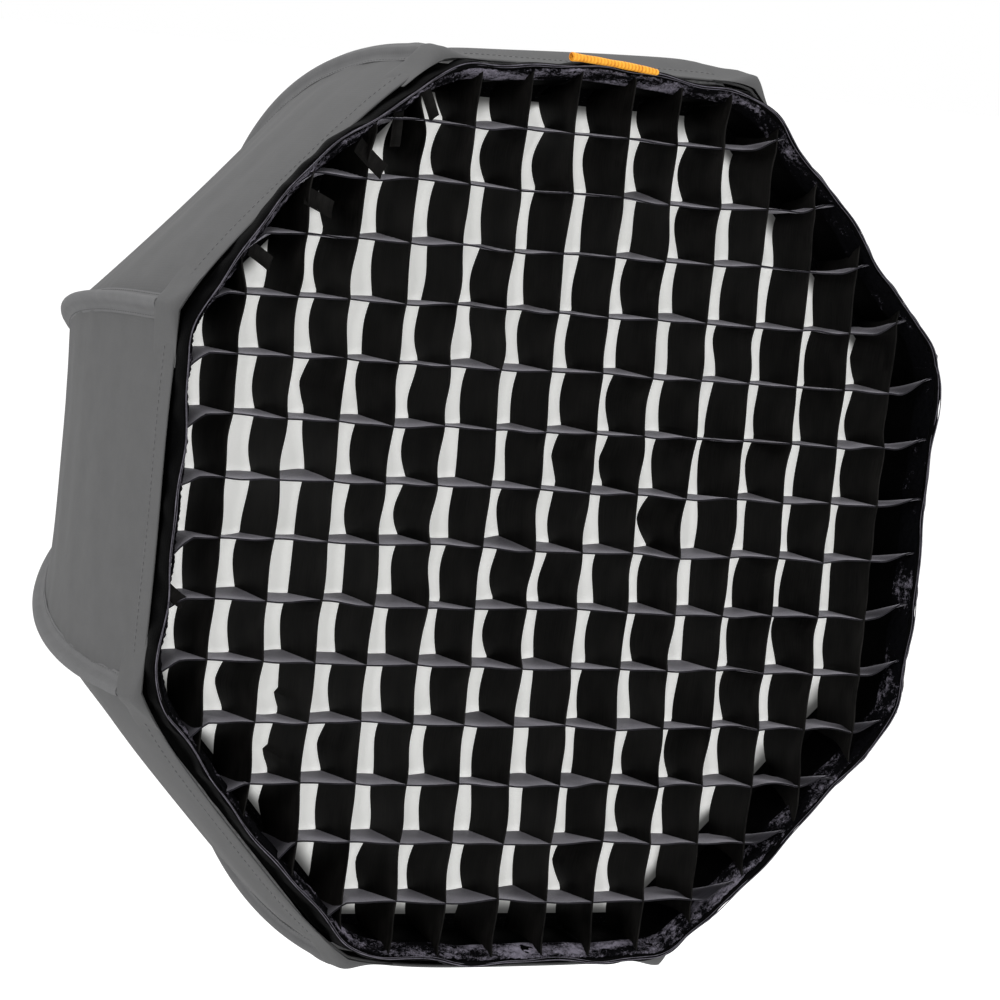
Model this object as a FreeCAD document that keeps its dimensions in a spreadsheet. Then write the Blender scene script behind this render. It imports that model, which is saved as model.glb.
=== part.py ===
"""Octabox: an eight-sided folding softbox with a front diffuser and a fabric egg-crate grid.

Frame: millimetres, +Z up, +Y towards the rear (where the light is fastened), the open front facing
-Y. The origin is the centre of the rear mount ring's bore. Ribs lie in planes through the Y axis,
at 22.5 degrees and every 45 degrees after it, so that the octagon has a flat side at the top.
"""
import FreeCAD, Part
import math
import os
import re

import Sketcher
from FreeCAD import Placement, Rotation, Vector

SIDES = 8
STEP_ANGLE = 360.0 / SIDES
HALF_ANGLE = STEP_ANGLE / 2
Y_AXIS = Vector(0, 1, 0)
Z_AXIS = Vector(0, 0, 1)

# alias, millimetres or a count, and what it is
SIZES = [
    ("grid_cells", 15, "cells across the grid, flat to flat"),
    ("grid_pitch", 40, "from one grid strip to the next"),
    ("strip_thickness", 1.2, "a grid strip's folded fabric"),
    ("strip_depth", 44, "a grid strip, front to back"),
    ("strip_front", 3, "from the front plane to the strips' front edges"),
    ("strip_end_gap", 5.5, "from a strip's end to the grid's nominal outline"),
    ("slot_clearance", 0.5, "extra width of the slot where strips cross"),
    ("slot_overlap", 0.1, "extra depth of the slot where strips cross"),
    ("band_front", 2, "front plane to the edge band"),
    ("band_depth", 45, "the grid's edge band, front to back"),
    ("band_thickness", 1.5, "the grid's edge band"),
    ("band_apothem", 298.5, "axis to the outside of the edge band"),
    ("piping_radius", 1.2, "piping along the grid's front edge"),
    ("piping_front", 0.6, "front plane to the piping's centre line"),
    ("edge_gap", 1, "from the end of a side's band or piping to the corner"),
    ("tab_length", 70, "pull tab, along the edge"),
    ("tab_width", 7, "pull tab, front to back"),
    ("tab_thickness", 5, "pull tab, rolled ribbon"),
    ("tab_overhang", 4.5, "how far the pull tab stands ahead of the front plane"),
    ("tab_rise", 7.5, "from the edge band up to the pull tab"),
    ("front_reach", 500, "mount bore centre to the front plane"),
    ("arc_offset", 187.9, "rib arc's centre, beyond the axis from the rib"),
    ("arc_setback", 31.2, "rib arc's centre, behind the front plane"),
    ("rod_arc_radius", 517.1, "bend of a rod's centre line"),
    ("rod_radius", 2.5, "glass fibre rod"),
    ("sleeve_radius", 3.4, "rod sleeve, outside"),
    ("sleeve_bore", 2.6, "rod sleeve, inside"),
    ("rod_fit_radius", 2.55, "socket and cap bores that hold a rod"),
    ("panel_arc_radius", 513.2, "bend of the shell's corner line, outside"),
    ("panel_thickness", 1.0, "lined shell fabric"),
    ("panel_front", 16, "front plane to a panel's hem"),
    ("panel_rear", 440, "front plane to a panel's rear edge"),
    ("rod_front", 21, "front plane to a rod's front end"),
    ("sleeve_front", 36, "front plane to a sleeve's front end"),
    ("sleeve_gap", 5.4, "from a sleeve's rear end to the knuckle's socket"),
    ("tip_front", 18, "front plane to the tip cap's barrel"),
    ("tip_nose", 2, "tip cap's conical nose"),
    ("tip_length", 14, "rod tip cap"),
    ("tip_radius", 3.3, "rod tip cap"),
    ("pivot_radius", 85, "axis to a rib's hinge pin"),
    ("pin_radius", 2.0, "hinge pin"),
    ("pin_bore", 2.04, "running bore for the hinge pin"),
    ("knuckle_width", 9, "knuckle, along its pin"),
    ("knuckle_eye", 7, "knuckle's eye, outside radius"),
    ("socket_radius", 5.5, "knuckle's socket, outside"),
    ("socket_start", 8, "pin to the socket's shoulder"),
    ("socket_length", 36, "pin to the socket's mouth"),
    ("rod_seat", 9, "pin to the bottom of the socket's bore"),
    ("ear_gap", 9.3, "between the two ears of a clevis"),
    ("ear_thickness", 4, "one ear of a clevis"),
    ("hub_radius", 74, "hub ring, outside"),
    ("hub_front", 44, "mount bore centre to the hub ring's front face"),
    ("hub_rear", 10, "mount bore centre to the hub ring's rear face"),
    ("hub_bore", 62.08, "hub ring's bearing for the mount ring"),
    ("hub_bearing_front", 9.9, "mount bore centre to the bearing's front shoulder"),
    ("hub_recess_radius", 70, "wide bore ahead of the bearing"),
    ("mount_radius", 62, "mount ring's barrel"),
    ("mount_bore", 49, "mount ring's bore for the light"),
    ("mount_front", 10, "mount bore centre to the mount ring's front face"),
    ("flange_radius", 68, "mount ring's rear flange and retaining ring"),
    ("flange_front", 10.1, "mount bore centre to the flange"),
    ("flange_thickness", 3, "mount ring's rear flange and retaining ring"),
    ("retainer_bore", 50, "retaining ring's bore"),
    ("screw_circle", 56, "retaining screws, from the axis"),
    ("screw_radius", 1.5, "retaining screw's shank"),
    ("screw_hole", 1.55, "retaining screw's hole"),
    ("screw_head_radius", 2.8, "retaining screw's head"),
    ("screw_head_height", 1.8, "retaining screw's head"),
    ("screw_depth", 8, "retaining screw's thread in the mount ring"),
    ("screw_tip_gap", 0.2, "from a retaining screw's tip to the bottom of its hole"),
    ("lock_radius", 3, "locking screw's shank"),
    ("lock_hole", 3.05, "locking screw's hole"),
    ("lock_inner", 62.3, "axis to the locking screw's tip"),
    ("lock_setback", 2, "mount bore centre to the locking screw, rearwards"),
    ("knob_inner", 80, "axis to the locking knob's base"),
    ("knob_height", 16, "locking knob, along its screw"),
    ("knob_radius", 8, "locking knob"),
    ("knob_notch", 1.6, "finger notch in the locking knob"),
    ("knob_recess_depth", 10, "locking knob's hole for the screw"),
    ("collar_front", 425, "front plane to the rear collar's wide end"),
    ("collar_rear", 488, "front plane to the rear collar's narrow end"),
    ("collar_wide", 155, "rear collar's corner radius at its wide end"),
    ("collar_narrow", 90, "rear collar's corner radius at its narrow end"),
    ("collar_thickness", 1.5, "rear collar's lined fabric"),
    ("diffuser_front", 50, "front plane to the diffuser's border"),
    ("border_outer", 297.5, "axis to the border's outside"),
    ("border_inner", 278, "axis to the border's inside"),
    ("border_thickness", 1.6, "diffuser's border"),
    ("cloth_apothem", 290, "axis to the diffuser cloth's edge"),
    ("cloth_thickness", 0.8, "diffuser cloth"),
]

NOTCHES = 10
RETAINING_SCREWS = 4
PANEL_TRIM_ANGLE = 0.03
OVERCUT = 1.0
FIT_ANGLE = 0.02

doc = FreeCAD.newDocument("octabox")
sheet = doc.addObject("Spreadsheet::Sheet", "Sizes")
sheet.Label = "Sizes"
for row, (alias, value, meaning) in enumerate(SIZES, start=1):
    sheet.set(f"A{row}", alias)
    sheet.set(f"B{row}", str(value))
    sheet.set(f"C{row}", meaning)
    sheet.setAlias(f"B{row}", alias)
doc.recompute()
size = {alias: float(sheet.get(alias)) for alias, _, _ in SIZES}

front = -size["front_reach"]
arc_centre = Vector(-size["arc_offset"], front + size["arc_setback"], 0)
rib_angles = [HALF_ANGLE + STEP_ANGLE * k for k in range(SIDES)]
side_angles = [STEP_ANGLE * (k + 1) for k in range(SIDES)]
nodes = []


# ---------------------------------------------------------------- helpers

def bind(thing, **sizes):
    """Sets each property from an expression of the sheet's aliases."""
    for prop, text in sizes.items():
        thing.setExpression(prop, sheet_names(text))


def sheet_names(text):
    """Puts the sheet's name before each alias in an expression."""
    return re.sub(r"[a-z_]+", lambda m: f"Sizes.{m[0]}" if m[0] in size else m[0], text)


def number(text):
    """The value of an expression of aliases."""
    return float(sheet.evalExpression(sheet_names(text)))


def keep(thing, label):
    """Names a finished sub-part."""
    thing.Label = label
    nodes.append(thing)
    return thing


def about_axis(angle):
    """Turns the +X direction to the given angle around the box's own axis, Y."""
    return Placement(Vector(0, 0, 0), Rotation(Y_AXIS, -angle))


def primitive(kind, name, place=None, **sizes):
    thing = doc.addObject(f"Part::{kind}", name)
    bind(thing, **sizes)
    if place is not None:
        thing.Placement = place
    return thing


def cut(name, base, tool, place=None):
    thing = doc.addObject("Part::Cut", name)
    thing.Base = base
    thing.Tool = tool
    if place is not None:
        thing.Placement = place
    return thing


def joined(kind, name, parts):
    """A Part::MultiFuse or Part::Compound of several objects."""
    thing = doc.addObject(f"Part::{kind}", name)
    if kind == "Compound":
        thing.Links = parts
    else:
        thing.Shapes = parts
    return thing


def arc_angle(reach, arc_radius):
    """Where an arc around the rib's centre crosses a plane, reach behind the front plane."""
    return math.degrees(math.asin((reach - size["arc_setback"]) / arc_radius))


def arc_tube(name, tube_radius, first, last):
    """Part of a torus on the rod's centre line, in the plane of the rib that lies along +X."""
    tube = primitive("Torus", name, Radius1="rod_arc_radius", Radius2=tube_radius)
    tube.Angle3 = last - first
    tube.Placement = Placement(arc_centre, Rotation(Z_AXIS, first))
    return tube


def new_body(name):
    return doc.addObject("PartDesign::Body", name)


def new_sketch(body, role, name):
    """A sketch on one of the body's own origin planes."""
    sketch = body.newObject("Sketcher::SketchObject", name)
    plane = next(f for f in body.Origin.OriginFeatures if f.Role == role)
    sketch.AttachmentSupport = [(plane, "")]
    sketch.MapMode = "FlatFace"
    doc.recompute()
    return sketch


def fix_point(sketch, geometry, end, across, up):
    """Ties a sketch point to the sheet, measured from the sketch's origin."""
    for kind, text, axis in (("DistanceX", across, -2), ("DistanceY", up, -1)):
        value = number(text)
        if abs(value) < 1e-9:
            sketch.addConstraint(Sketcher.Constraint("PointOnObject", geometry, end, axis))
            continue
        if value > 0:
            rule = Sketcher.Constraint(kind, -1, 1, geometry, end, value)
            bound = sheet_names(text)
        else:
            rule = Sketcher.Constraint(kind, geometry, end, -1, 1, -value)
            bound = sheet_names(f"-1 * ({text})")
        index = sketch.addConstraint(rule)
        sketch.setExpression(f"Constraints[{index}]", bound)


def draw_polygon(sketch, corners):
    """A closed outline, each corner given as two expressions of the sheet's aliases."""
    spots = [Vector(number(a), number(b), 0) for a, b in corners]
    lines = []
    for k, spot in enumerate(spots):
        lines.append(sketch.addGeometry(Part.LineSegment(spot, spots[(k + 1) % len(spots)])))
    for k, line in enumerate(lines):
        following = lines[(k + 1) % len(lines)]
        sketch.addConstraint(Sketcher.Constraint("Coincident", line, 2, following, 1))
    for line, (across, up) in zip(lines, corners):
        fix_point(sketch, line, 1, across, up)


def draw_circle(sketch, across, up, radius):
    circle = Part.Circle(Vector(number(across), number(up), 0), Z_AXIS, number(radius))
    index = sketch.addGeometry(circle)
    rule = sketch.addConstraint(Sketcher.Constraint("Radius", index, number(radius)))
    sketch.setExpression(f"Constraints[{rule}]", sheet_names(radius))
    fix_point(sketch, index, 3, across, up)


def revolve(body, sketch, name):
    """A full turn about the sketch's vertical axis."""
    turned = body.newObject("PartDesign::Revolution", name)
    turned.Profile = sketch
    turned.ReferenceAxis = (sketch, ["V_Axis"])
    turned.Angle = 360
    sketch.Visibility = False
    doc.recompute()
    return turned


def octagon(name, apothem, thickness, reach):
    """A flat octagonal plate, reach behind the front plane."""
    plate = primitive("Prism", name, Circumradius=f"{apothem} / cos({HALF_ANGLE} deg)",
                      Height=thickness)
    plate.Polygon = SIDES
    stand = Rotation(Vector(1, 0, 0), -90)
    turn = Rotation(Y_AXIS, HALF_ANGLE)
    plate.Placement = Placement(Vector(0, front + reach, 0), turn.multiply(stand))
    return plate


# ---------------------------------------------------------------- ribs

pivot_angle = math.degrees(math.acos(
    (size["pivot_radius"] + size["arc_offset"]) / size["rod_arc_radius"]))


def rod_point(angle):
    """A point of the rod's centre line, in the plane of the rib that lies along +X."""
    turn = math.radians(angle)
    reach = size["rod_arc_radius"]
    return arc_centre + Vector(reach * math.cos(turn), reach * math.sin(turn), 0)


def sweep(length):
    """The angle that a length takes up along the rod's centre line."""
    return math.degrees(length / size["rod_arc_radius"])


pivot = rod_point(pivot_angle)
socket_mouth = rod_point(pivot_angle - sweep(size["socket_length"]))
rod_first = arc_angle(size["rod_front"], size["rod_arc_radius"])
rod_last = pivot_angle - sweep(size["rod_seat"])
sleeve_first = arc_angle(size["sleeve_front"], size["rod_arc_radius"])
sleeve_last = pivot_angle - sweep(size["socket_length"] + size["sleeve_gap"])


def make_rod(k, turn):
    rod = arc_tube(f"Rod{k}", "rod_radius", rod_first, rod_last)
    rod.Placement = turn.multiply(rod.Placement)
    keep(rod, f"rib_rod_{k}")


def make_sleeve(k, turn):
    outside = arc_tube(f"SleeveOutside{k}", "sleeve_radius", sleeve_first, sleeve_last)
    over = sweep(OVERCUT)
    inside = arc_tube(f"SleeveInside{k}", "sleeve_bore", sleeve_first - over, sleeve_last + over)
    keep(cut(f"Sleeve{k}", outside, inside, turn), f"rib_sleeve_{k}")


def make_tip(k, turn):
    """A moulded cap on the rod's front end, with a conical nose."""
    start = rod_point(rod_first)
    start.y = front + size["tip_front"]
    along = Rotation(Z_AXIS, Y_AXIS)
    barrel = primitive("Cylinder", f"TipBarrel{k}", Placement(start, along),
                       Radius="tip_radius", Height="tip_length")
    nose_start = start - Vector(0, size["tip_nose"], 0)
    nose = primitive("Cone", f"TipNose{k}", Placement(nose_start, along),
                     Radius1="tip_radius / 2", Radius2="tip_radius", Height="tip_nose")
    solid = joined("MultiFuse", f"TipSolid{k}", [barrel, nose])
    bore_last = rod_first + sweep(size["tip_length"] * 2)
    bore = arc_tube(f"TipBore{k}", "rod_fit_radius", rod_first - FIT_ANGLE, bore_last)
    keep(cut(f"Tip{k}", solid, bore, turn), f"rib_tip_{k}")


def make_knuckle(k, turn):
    """The rod's root: an eye for the hinge pin, a neck between the ears and a socket."""
    half_width = Vector(0, 0, -size["knuckle_width"] / 2)
    eye = primitive("Cylinder", f"Eye{k}", Placement(pivot + half_width, Rotation()),
                    Radius="knuckle_eye", Height="knuckle_width")
    outward = (socket_mouth - pivot).normalize()
    along = Rotation(Z_AXIS, outward)
    neck = primitive("Cylinder", f"Neck{k}", Placement(pivot, along),
                     Radius="knuckle_width / 2", Height="rod_seat")
    shoulder = pivot + outward * size["socket_start"]
    socket = primitive("Cylinder", f"Socket{k}", Placement(shoulder, along),
                       Radius="socket_radius", Height="socket_length - socket_start")
    solid = joined("MultiFuse", f"KnuckleSolid{k}", [eye, neck, socket])
    pin_hole = primitive("Cylinder", f"EyeBore{k}", Placement(pivot + half_width * 2, Rotation()),
                         Radius="pin_bore", Height="knuckle_width * 2")
    bore_first = rod_last - sweep(size["socket_length"] * 2)
    rod_hole = arc_tube(f"SocketBore{k}", "rod_fit_radius", bore_first, rod_last + FIT_ANGLE)
    holes = joined("Compound", f"KnuckleHoles{k}", [pin_hole, rod_hole])
    keep(cut(f"Knuckle{k}", solid, holes, turn), f"rib_knuckle_{k}")


# ---------------------------------------------------------------- shell

def ellipse_arc(arc_radius, first, last):
    """The shell's line along the middle of a panel: the corner's arc, drawn in by the octagon."""
    squeeze = math.cos(math.radians(HALF_ANGLE))
    middle = Vector(arc_centre.x * squeeze, arc_centre.y, 0)
    top = middle + Vector(0, arc_radius, 0)
    side = middle + Vector(-arc_radius * squeeze, 0, 0)
    ellipse = Part.Ellipse(top, side, middle)
    angles = [math.radians(arc_angle(reach, arc_radius) - 90) for reach in (first, last)]
    return Part.ArcOfEllipse(ellipse, *angles)


def make_panel(k, turn):
    """One side of the shell: a fabric strip, bent along the box and straight across it."""
    body = new_body(f"PanelCloth{k}")
    sketch = new_sketch(body, "XY_Plane", f"PanelProfile{k}")
    ends = size["panel_front"], size["panel_rear"]
    outer = ellipse_arc(size["panel_arc_radius"], *ends)
    inner = ellipse_arc(size["panel_arc_radius"] - size["panel_thickness"], *ends)
    sketch.addGeometry(outer)
    sketch.addGeometry(inner)
    sketch.addGeometry(Part.LineSegment(outer.StartPoint, inner.StartPoint))
    sketch.addGeometry(Part.LineSegment(outer.EndPoint, inner.EndPoint))
    for index in range(4):
        sketch.addConstraint(Sketcher.Constraint("Block", index))
    cloth = body.newObject("PartDesign::Pad", f"PanelPad{k}")
    cloth.Profile = sketch
    cloth.Midplane = True
    bind(cloth, Length="panel_arc_radius")
    sketch.Visibility = False
    wedge = doc.addObject("Part::Wedge", f"PanelWedge{k}")
    near, far = size["pivot_radius"], size["front_reach"]
    spread = math.tan(math.radians(HALF_ANGLE - PANEL_TRIM_ANGLE))
    wedge.Ymin, wedge.Ymax = near, far
    wedge.Xmin, wedge.Xmax = -near * spread, near * spread
    wedge.X2min, wedge.X2max = -far * spread, far * spread
    wedge.Zmin, wedge.Zmax = 0, size["front_reach"]
    wedge.Z2min, wedge.Z2max = 0, size["front_reach"]
    stand = Rotation(Z_AXIS, Vector(0, -1, 0))
    radial = Rotation(stand.multVec(Y_AXIS), Vector(1, 0, 0))
    wedge.Placement = Placement(Vector(0, 0, 0), radial.multiply(stand))
    panel = doc.addObject("Part::Common", f"Panel{k}")
    panel.Base = body
    panel.Tool = wedge
    panel.Placement = turn
    keep(panel, f"shell_panel_{k}")


def make_collar():
    """A fabric skirt over the rib roots, from the shell to the hub."""
    cones = []
    for name, inset in (("Outside", 0.0), ("Inside", size["collar_thickness"])):
        ends = []
        for end in ("wide", "narrow"):
            wire = doc.addObject("Part::RegularPolygon", f"Collar{name}{end.title()}")
            wire.Polygon = SIDES
            wire.Circumradius = size[f"collar_{end}"] - inset
            reach = size["collar_front"] if end == "wide" else size["collar_rear"]
            stand = Rotation(Vector(1, 0, 0), -90)
            turn = Rotation(Y_AXIS, HALF_ANGLE)
            wire.Placement = Placement(Vector(0, front + reach, 0), turn.multiply(stand))
            ends.append(wire)
        loft = doc.addObject("Part::Loft", f"Collar{name}")
        loft.Sections = ends
        loft.Solid = True
        loft.Ruled = True
        cones.append(loft)
    keep(cut("Collar", *cones), "rear_collar")


# ---------------------------------------------------------------- hub

def make_hub():
    """The ring that carries the ribs: a stepped barrel with a two-eared clevis for each rib."""
    body = new_body("HubBarrel")
    sketch = new_sketch(body, "XY_Plane", "HubProfile")
    draw_polygon(sketch, [
        ("hub_bore", "hub_rear"),
        ("hub_radius", "hub_rear"),
        ("hub_radius", "-1 * hub_front"),
        ("hub_recess_radius", "-1 * hub_front"),
        ("hub_recess_radius", "-1 * hub_bearing_front"),
        ("hub_bore", "-1 * hub_bearing_front"),
    ])
    revolve(body, sketch, "HubRevolution")
    ears, holes = [], []
    for k, angle in enumerate(rib_angles, start=1):
        turn = about_axis(angle)
        for side in (-1, 1):
            gap, thick = size["ear_gap"], size["ear_thickness"]
            inner = gap / 2 if side > 0 else -gap / 2 - thick
            tag = f"{k}{'A' if side > 0 else 'B'}"
            low = Vector(size["hub_recess_radius"] + OVERCUT, pivot.y - size["knuckle_eye"], inner)
            box = primitive("Box", f"EarBox{tag}", turn.multiply(Placement(low, Rotation())),
                            Width="knuckle_eye * 2", Height="ear_thickness")
            box.Length = size["pivot_radius"] - low.x
            middle = Vector(pivot.x, pivot.y, inner)
            eye = primitive("Cylinder", f"EarEye{tag}", turn.multiply(Placement(middle, Rotation())),
                            Radius="knuckle_eye", Height="ear_thickness")
            ears += [box, eye]
        start = Vector(pivot.x, pivot.y, -size["ear_gap"])
        holes.append(primitive("Cylinder", f"EarHole{k}", turn.multiply(Placement(start, Rotation())),
                               Radius="pin_radius", Height="ear_gap * 2"))
    start = Vector(size["mount_bore"], size["lock_setback"], 0)
    sideways = Placement(start, Rotation(Z_AXIS, Vector(1, 0, 0)))
    holes.append(primitive("Cylinder", "LockHole", sideways, Radius="lock_hole",
                           Height="pivot_radius - mount_bore"))
    solid = joined("MultiFuse", "HubSolid", [body] + ears)
    hub = cut("Hub", solid, joined("Compound", "HubHoles", holes))
    keep(hub, "hub_ring")


def make_pins():
    pins = []
    for k, angle in enumerate(rib_angles, start=1):
        half = size["ear_gap"] / 2 + size["ear_thickness"]
        start = about_axis(angle).multiply(Placement(Vector(pivot.x, pivot.y, -half), Rotation()))
        pins.append(primitive("Cylinder", f"Pin{k}", start, Radius="pin_radius",
                              Height="ear_gap + ear_thickness * 2"))
    keep(joined("Compound", "Pins", pins), "hinge_pins")


def screw_holes(name, start_y, length):
    """Four holes along the box's axis, for the retaining screws."""
    holes = []
    for k in range(RETAINING_SCREWS):
        spot = Placement(Vector(size["screw_circle"], start_y, 0), Rotation(Z_AXIS, Y_AXIS))
        turned = about_axis(STEP_ANGLE + k * 360.0 / RETAINING_SCREWS).multiply(spot)
        hole = primitive("Cylinder", f"{name}{k}", turned, Radius="screw_hole")
        hole.Height = length
        holes.append(hole)
    return joined("Compound", f"{name}s", holes)


def make_mount():
    """The ring that the light fastens to: it turns in the hub and is kept in by a ring in front."""
    body = new_body("MountBarrel")
    sketch = new_sketch(body, "XY_Plane", "MountProfile")
    draw_polygon(sketch, [
        ("mount_bore", "-1 * mount_front"),
        ("mount_radius", "-1 * mount_front"),
        ("mount_radius", "flange_front"),
        ("flange_radius", "flange_front"),
        ("flange_radius", "flange_front + flange_thickness"),
        ("mount_bore", "flange_front + flange_thickness"),
    ])
    revolve(body, sketch, "MountRevolution")
    deep = size["screw_depth"] + size["screw_tip_gap"]
    holes = screw_holes("MountHole", -size["mount_front"] - OVERCUT, deep + OVERCUT)
    keep(cut("Mount", body, holes), "mount_ring")

    body = new_body("RetainerPlate")
    sketch = new_sketch(body, "XY_Plane", "RetainerProfile")
    draw_polygon(sketch, [
        ("retainer_bore", "-1 * mount_front - flange_thickness"),
        ("flange_radius", "-1 * mount_front - flange_thickness"),
        ("flange_radius", "-1 * mount_front"),
        ("retainer_bore", "-1 * mount_front"),
    ])
    revolve(body, sketch, "RetainerRevolution")
    thick = size["flange_thickness"]
    face = -size["mount_front"] - thick
    holes = screw_holes("RetainerHole", face - OVERCUT, thick + OVERCUT * 2)
    keep(cut("Retainer", body, holes), "retaining_ring")


def make_screws():
    screws = []
    face = -size["mount_front"] - size["flange_thickness"]
    for k in range(RETAINING_SCREWS):
        turn = about_axis(STEP_ANGLE + k * 360.0 / RETAINING_SCREWS)
        along = Rotation(Z_AXIS, Y_AXIS)
        shank_place = turn.multiply(Placement(Vector(size["screw_circle"], face, 0), along))
        shank = primitive("Cylinder", f"ScrewShank{k}", shank_place, Radius="screw_radius",
                          Height="flange_thickness + screw_depth")
        head_start = Vector(size["screw_circle"], face - size["screw_head_height"], 0)
        head = primitive("Cylinder", f"ScrewHead{k}", turn.multiply(Placement(head_start, along)),
                         Radius="screw_head_radius", Height="screw_head_height")
        screws.append(joined("MultiFuse", f"Screw{k}", [shank, head]))
    keep(joined("Compound", "Screws", screws), "retaining_screws")


def make_lock():
    """A thumb screw through the hub ring, which stops the mount ring turning."""
    sideways = Rotation(Z_AXIS, Vector(1, 0, 0))
    start = Vector(size["lock_inner"], size["lock_setback"], 0)
    shank = primitive("Cylinder", "LockScrew", Placement(start, sideways), Radius="lock_radius",
                      Height="knob_inner + knob_recess_depth - lock_inner")
    keep(shank, "lock_screw")

    body = new_body("KnobBody")
    sketch = new_sketch(body, "XY_Plane", "KnobOutline")
    draw_circle(sketch, "0", "0", "knob_radius")
    barrel = body.newObject("PartDesign::Pad", "KnobPad")
    barrel.Profile = sketch
    bind(barrel, Length="knob_height")
    sketch.Visibility = False
    doc.recompute()
    sketch = new_sketch(body, "XY_Plane", "KnobNotchOutline")
    draw_circle(sketch, "knob_radius", "0", "knob_notch")
    notch = body.newObject("PartDesign::Pocket", "KnobNotch")
    notch.Profile = sketch
    notch.Reversed = True
    bind(notch, Length="knob_height")
    sketch.Visibility = False
    doc.recompute()
    pattern = body.newObject("PartDesign::PolarPattern", "KnobNotches")
    pattern.Originals = [notch]
    pattern.Axis = (next(f for f in body.Origin.OriginFeatures if f.Role == "Z_Axis"), [""])
    pattern.Angle = 360
    pattern.Occurrences = NOTCHES
    body.Tip = pattern
    doc.recompute()
    sketch = new_sketch(body, "XY_Plane", "KnobBoreOutline")
    draw_circle(sketch, "0", "0", "lock_hole")
    bore = body.newObject("PartDesign::Pocket", "KnobBore")
    bore.Profile = sketch
    bore.Reversed = True
    bind(bore, Length="knob_recess_depth")
    sketch.Visibility = False
    doc.recompute()
    body.Placement = Placement(Vector(size["knob_inner"], size["lock_setback"], 0), sideways)
    keep(body, "lock_knob")


# ---------------------------------------------------------------- diffuser

def make_diffuser():
    border_reach = size["diffuser_front"]
    outside = octagon("BorderOutside", "border_outer", "border_thickness", border_reach)
    inside = octagon("BorderInside", "border_inner", "border_thickness * 3",
                     border_reach - size["border_thickness"])
    keep(cut("Border", outside, inside), "diffuser_border")
    cloth_reach = border_reach + size["border_thickness"]
    keep(octagon("Cloth", "cloth_apothem", "cloth_thickness", cloth_reach), "diffuser_cloth")


# ---------------------------------------------------------------- grid

def strip_half_length(offset):
    """Half the length of a grid strip, offset from the grid's middle, inside the octagon."""
    apothem = size["grid_cells"] * size["grid_pitch"] / 2
    diagonal = apothem * math.sqrt(2) - abs(offset)
    return min(apothem, diagonal) - size["strip_end_gap"]


strip_offsets = [(k - (size["grid_cells"] - 2) / 2) * size["grid_pitch"]
                 for k in range(int(size["grid_cells"]) - 1)]


def make_strips(name, label, upright, slot_start):
    """The strips that run one way, slotted for half their depth where the others cross them."""
    strips, slots = [], []
    top = front + size["strip_front"]
    for k, offset in enumerate(strip_offsets):
        half = strip_half_length(offset)
        strip = primitive("Box", f"{name}Strip{k}", Width="strip_depth")
        slot = primitive("Box", f"{name}Slot{k}", Width="strip_depth / 2 + slot_overlap + band_front")
        thin = size["strip_thickness"]
        wide = thin + size["slot_clearance"]
        reach = size["grid_cells"] * size["grid_pitch"] / 2
        if upright:
            bind(strip, Length="strip_thickness")
            strip.Height = half * 2
            strip.Placement.Base = Vector(offset - thin / 2, top, -half)
            bind(slot, Height="strip_thickness + slot_clearance")
            slot.Length = reach * 2
            slot.Placement.Base = Vector(-reach, slot_start, offset - wide / 2)
        else:
            bind(strip, Height="strip_thickness")
            strip.Length = half * 2
            strip.Placement.Base = Vector(-half, top, offset - thin / 2)
            bind(slot, Length="strip_thickness + slot_clearance")
            slot.Height = reach * 2
            slot.Placement.Base = Vector(offset - wide / 2, slot_start, -reach)
        strips.append(strip)
        slots.append(slot)
    whole = joined("Compound", f"{name}Strips", strips)
    tools = joined("Compound", f"{name}Slots", slots)
    keep(cut(f"{name}Grid", whole, tools), label)


def make_grid():
    strips_front = front + size["strip_front"]
    crossing = strips_front + size["strip_depth"] / 2
    make_strips("Vertical", "grid_vertical_strips", True, crossing - size["slot_overlap"])
    make_strips("Horizontal", "grid_horizontal_strips", False, strips_front - size["band_front"])
    bands, pipes = [], []
    spread = math.tan(math.radians(HALF_ANGLE))
    half = (size["band_apothem"] - size["band_thickness"]) * spread - size["edge_gap"]
    for k, angle in enumerate(side_angles, start=1):
        turn = about_axis(angle)
        low = Vector(size["band_apothem"] - size["band_thickness"], front + size["band_front"], -half)
        band = primitive("Box", f"Band{k}", turn.multiply(Placement(low, Rotation())),
                         Length="band_thickness", Width="band_depth")
        band.Height = half * 2
        bands.append(band)
        start = Vector(size["band_apothem"] - size["piping_radius"], front + size["piping_front"], -half)
        pipe = primitive("Cylinder", f"Pipe{k}", turn.multiply(Placement(start, Rotation())),
                         Radius="piping_radius")
        pipe.Height = half * 2
        pipes.append(pipe)
    keep(joined("Compound", "Bands", bands), "grid_band")
    keep(joined("Compound", "Pipes", pipes), "grid_piping")


def make_tab():
    """A rolled ribbon at the middle of the top edge, for pulling the grid off."""
    body = new_body("TabBody")
    sketch = new_sketch(body, "XY_Plane", "TabOutline")
    draw_polygon(sketch, [
        ("-1 * tab_length / 2", "0"),
        ("tab_length / 2", "0"),
        ("tab_length / 2", "tab_width"),
        ("-1 * tab_length / 2", "tab_width"),
    ])
    ribbon = body.newObject("PartDesign::Pad", "TabPad")
    ribbon.Profile = sketch
    bind(ribbon, Length="tab_thickness")
    sketch.Visibility = False
    doc.recompute()
    top = size["band_apothem"] + size["tab_rise"]
    body.Placement.Base = Vector(0, front - size["tab_overhang"], top)
    keep(body, "pull_tab")


# ---------------------------------------------------------------- build and check

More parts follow.
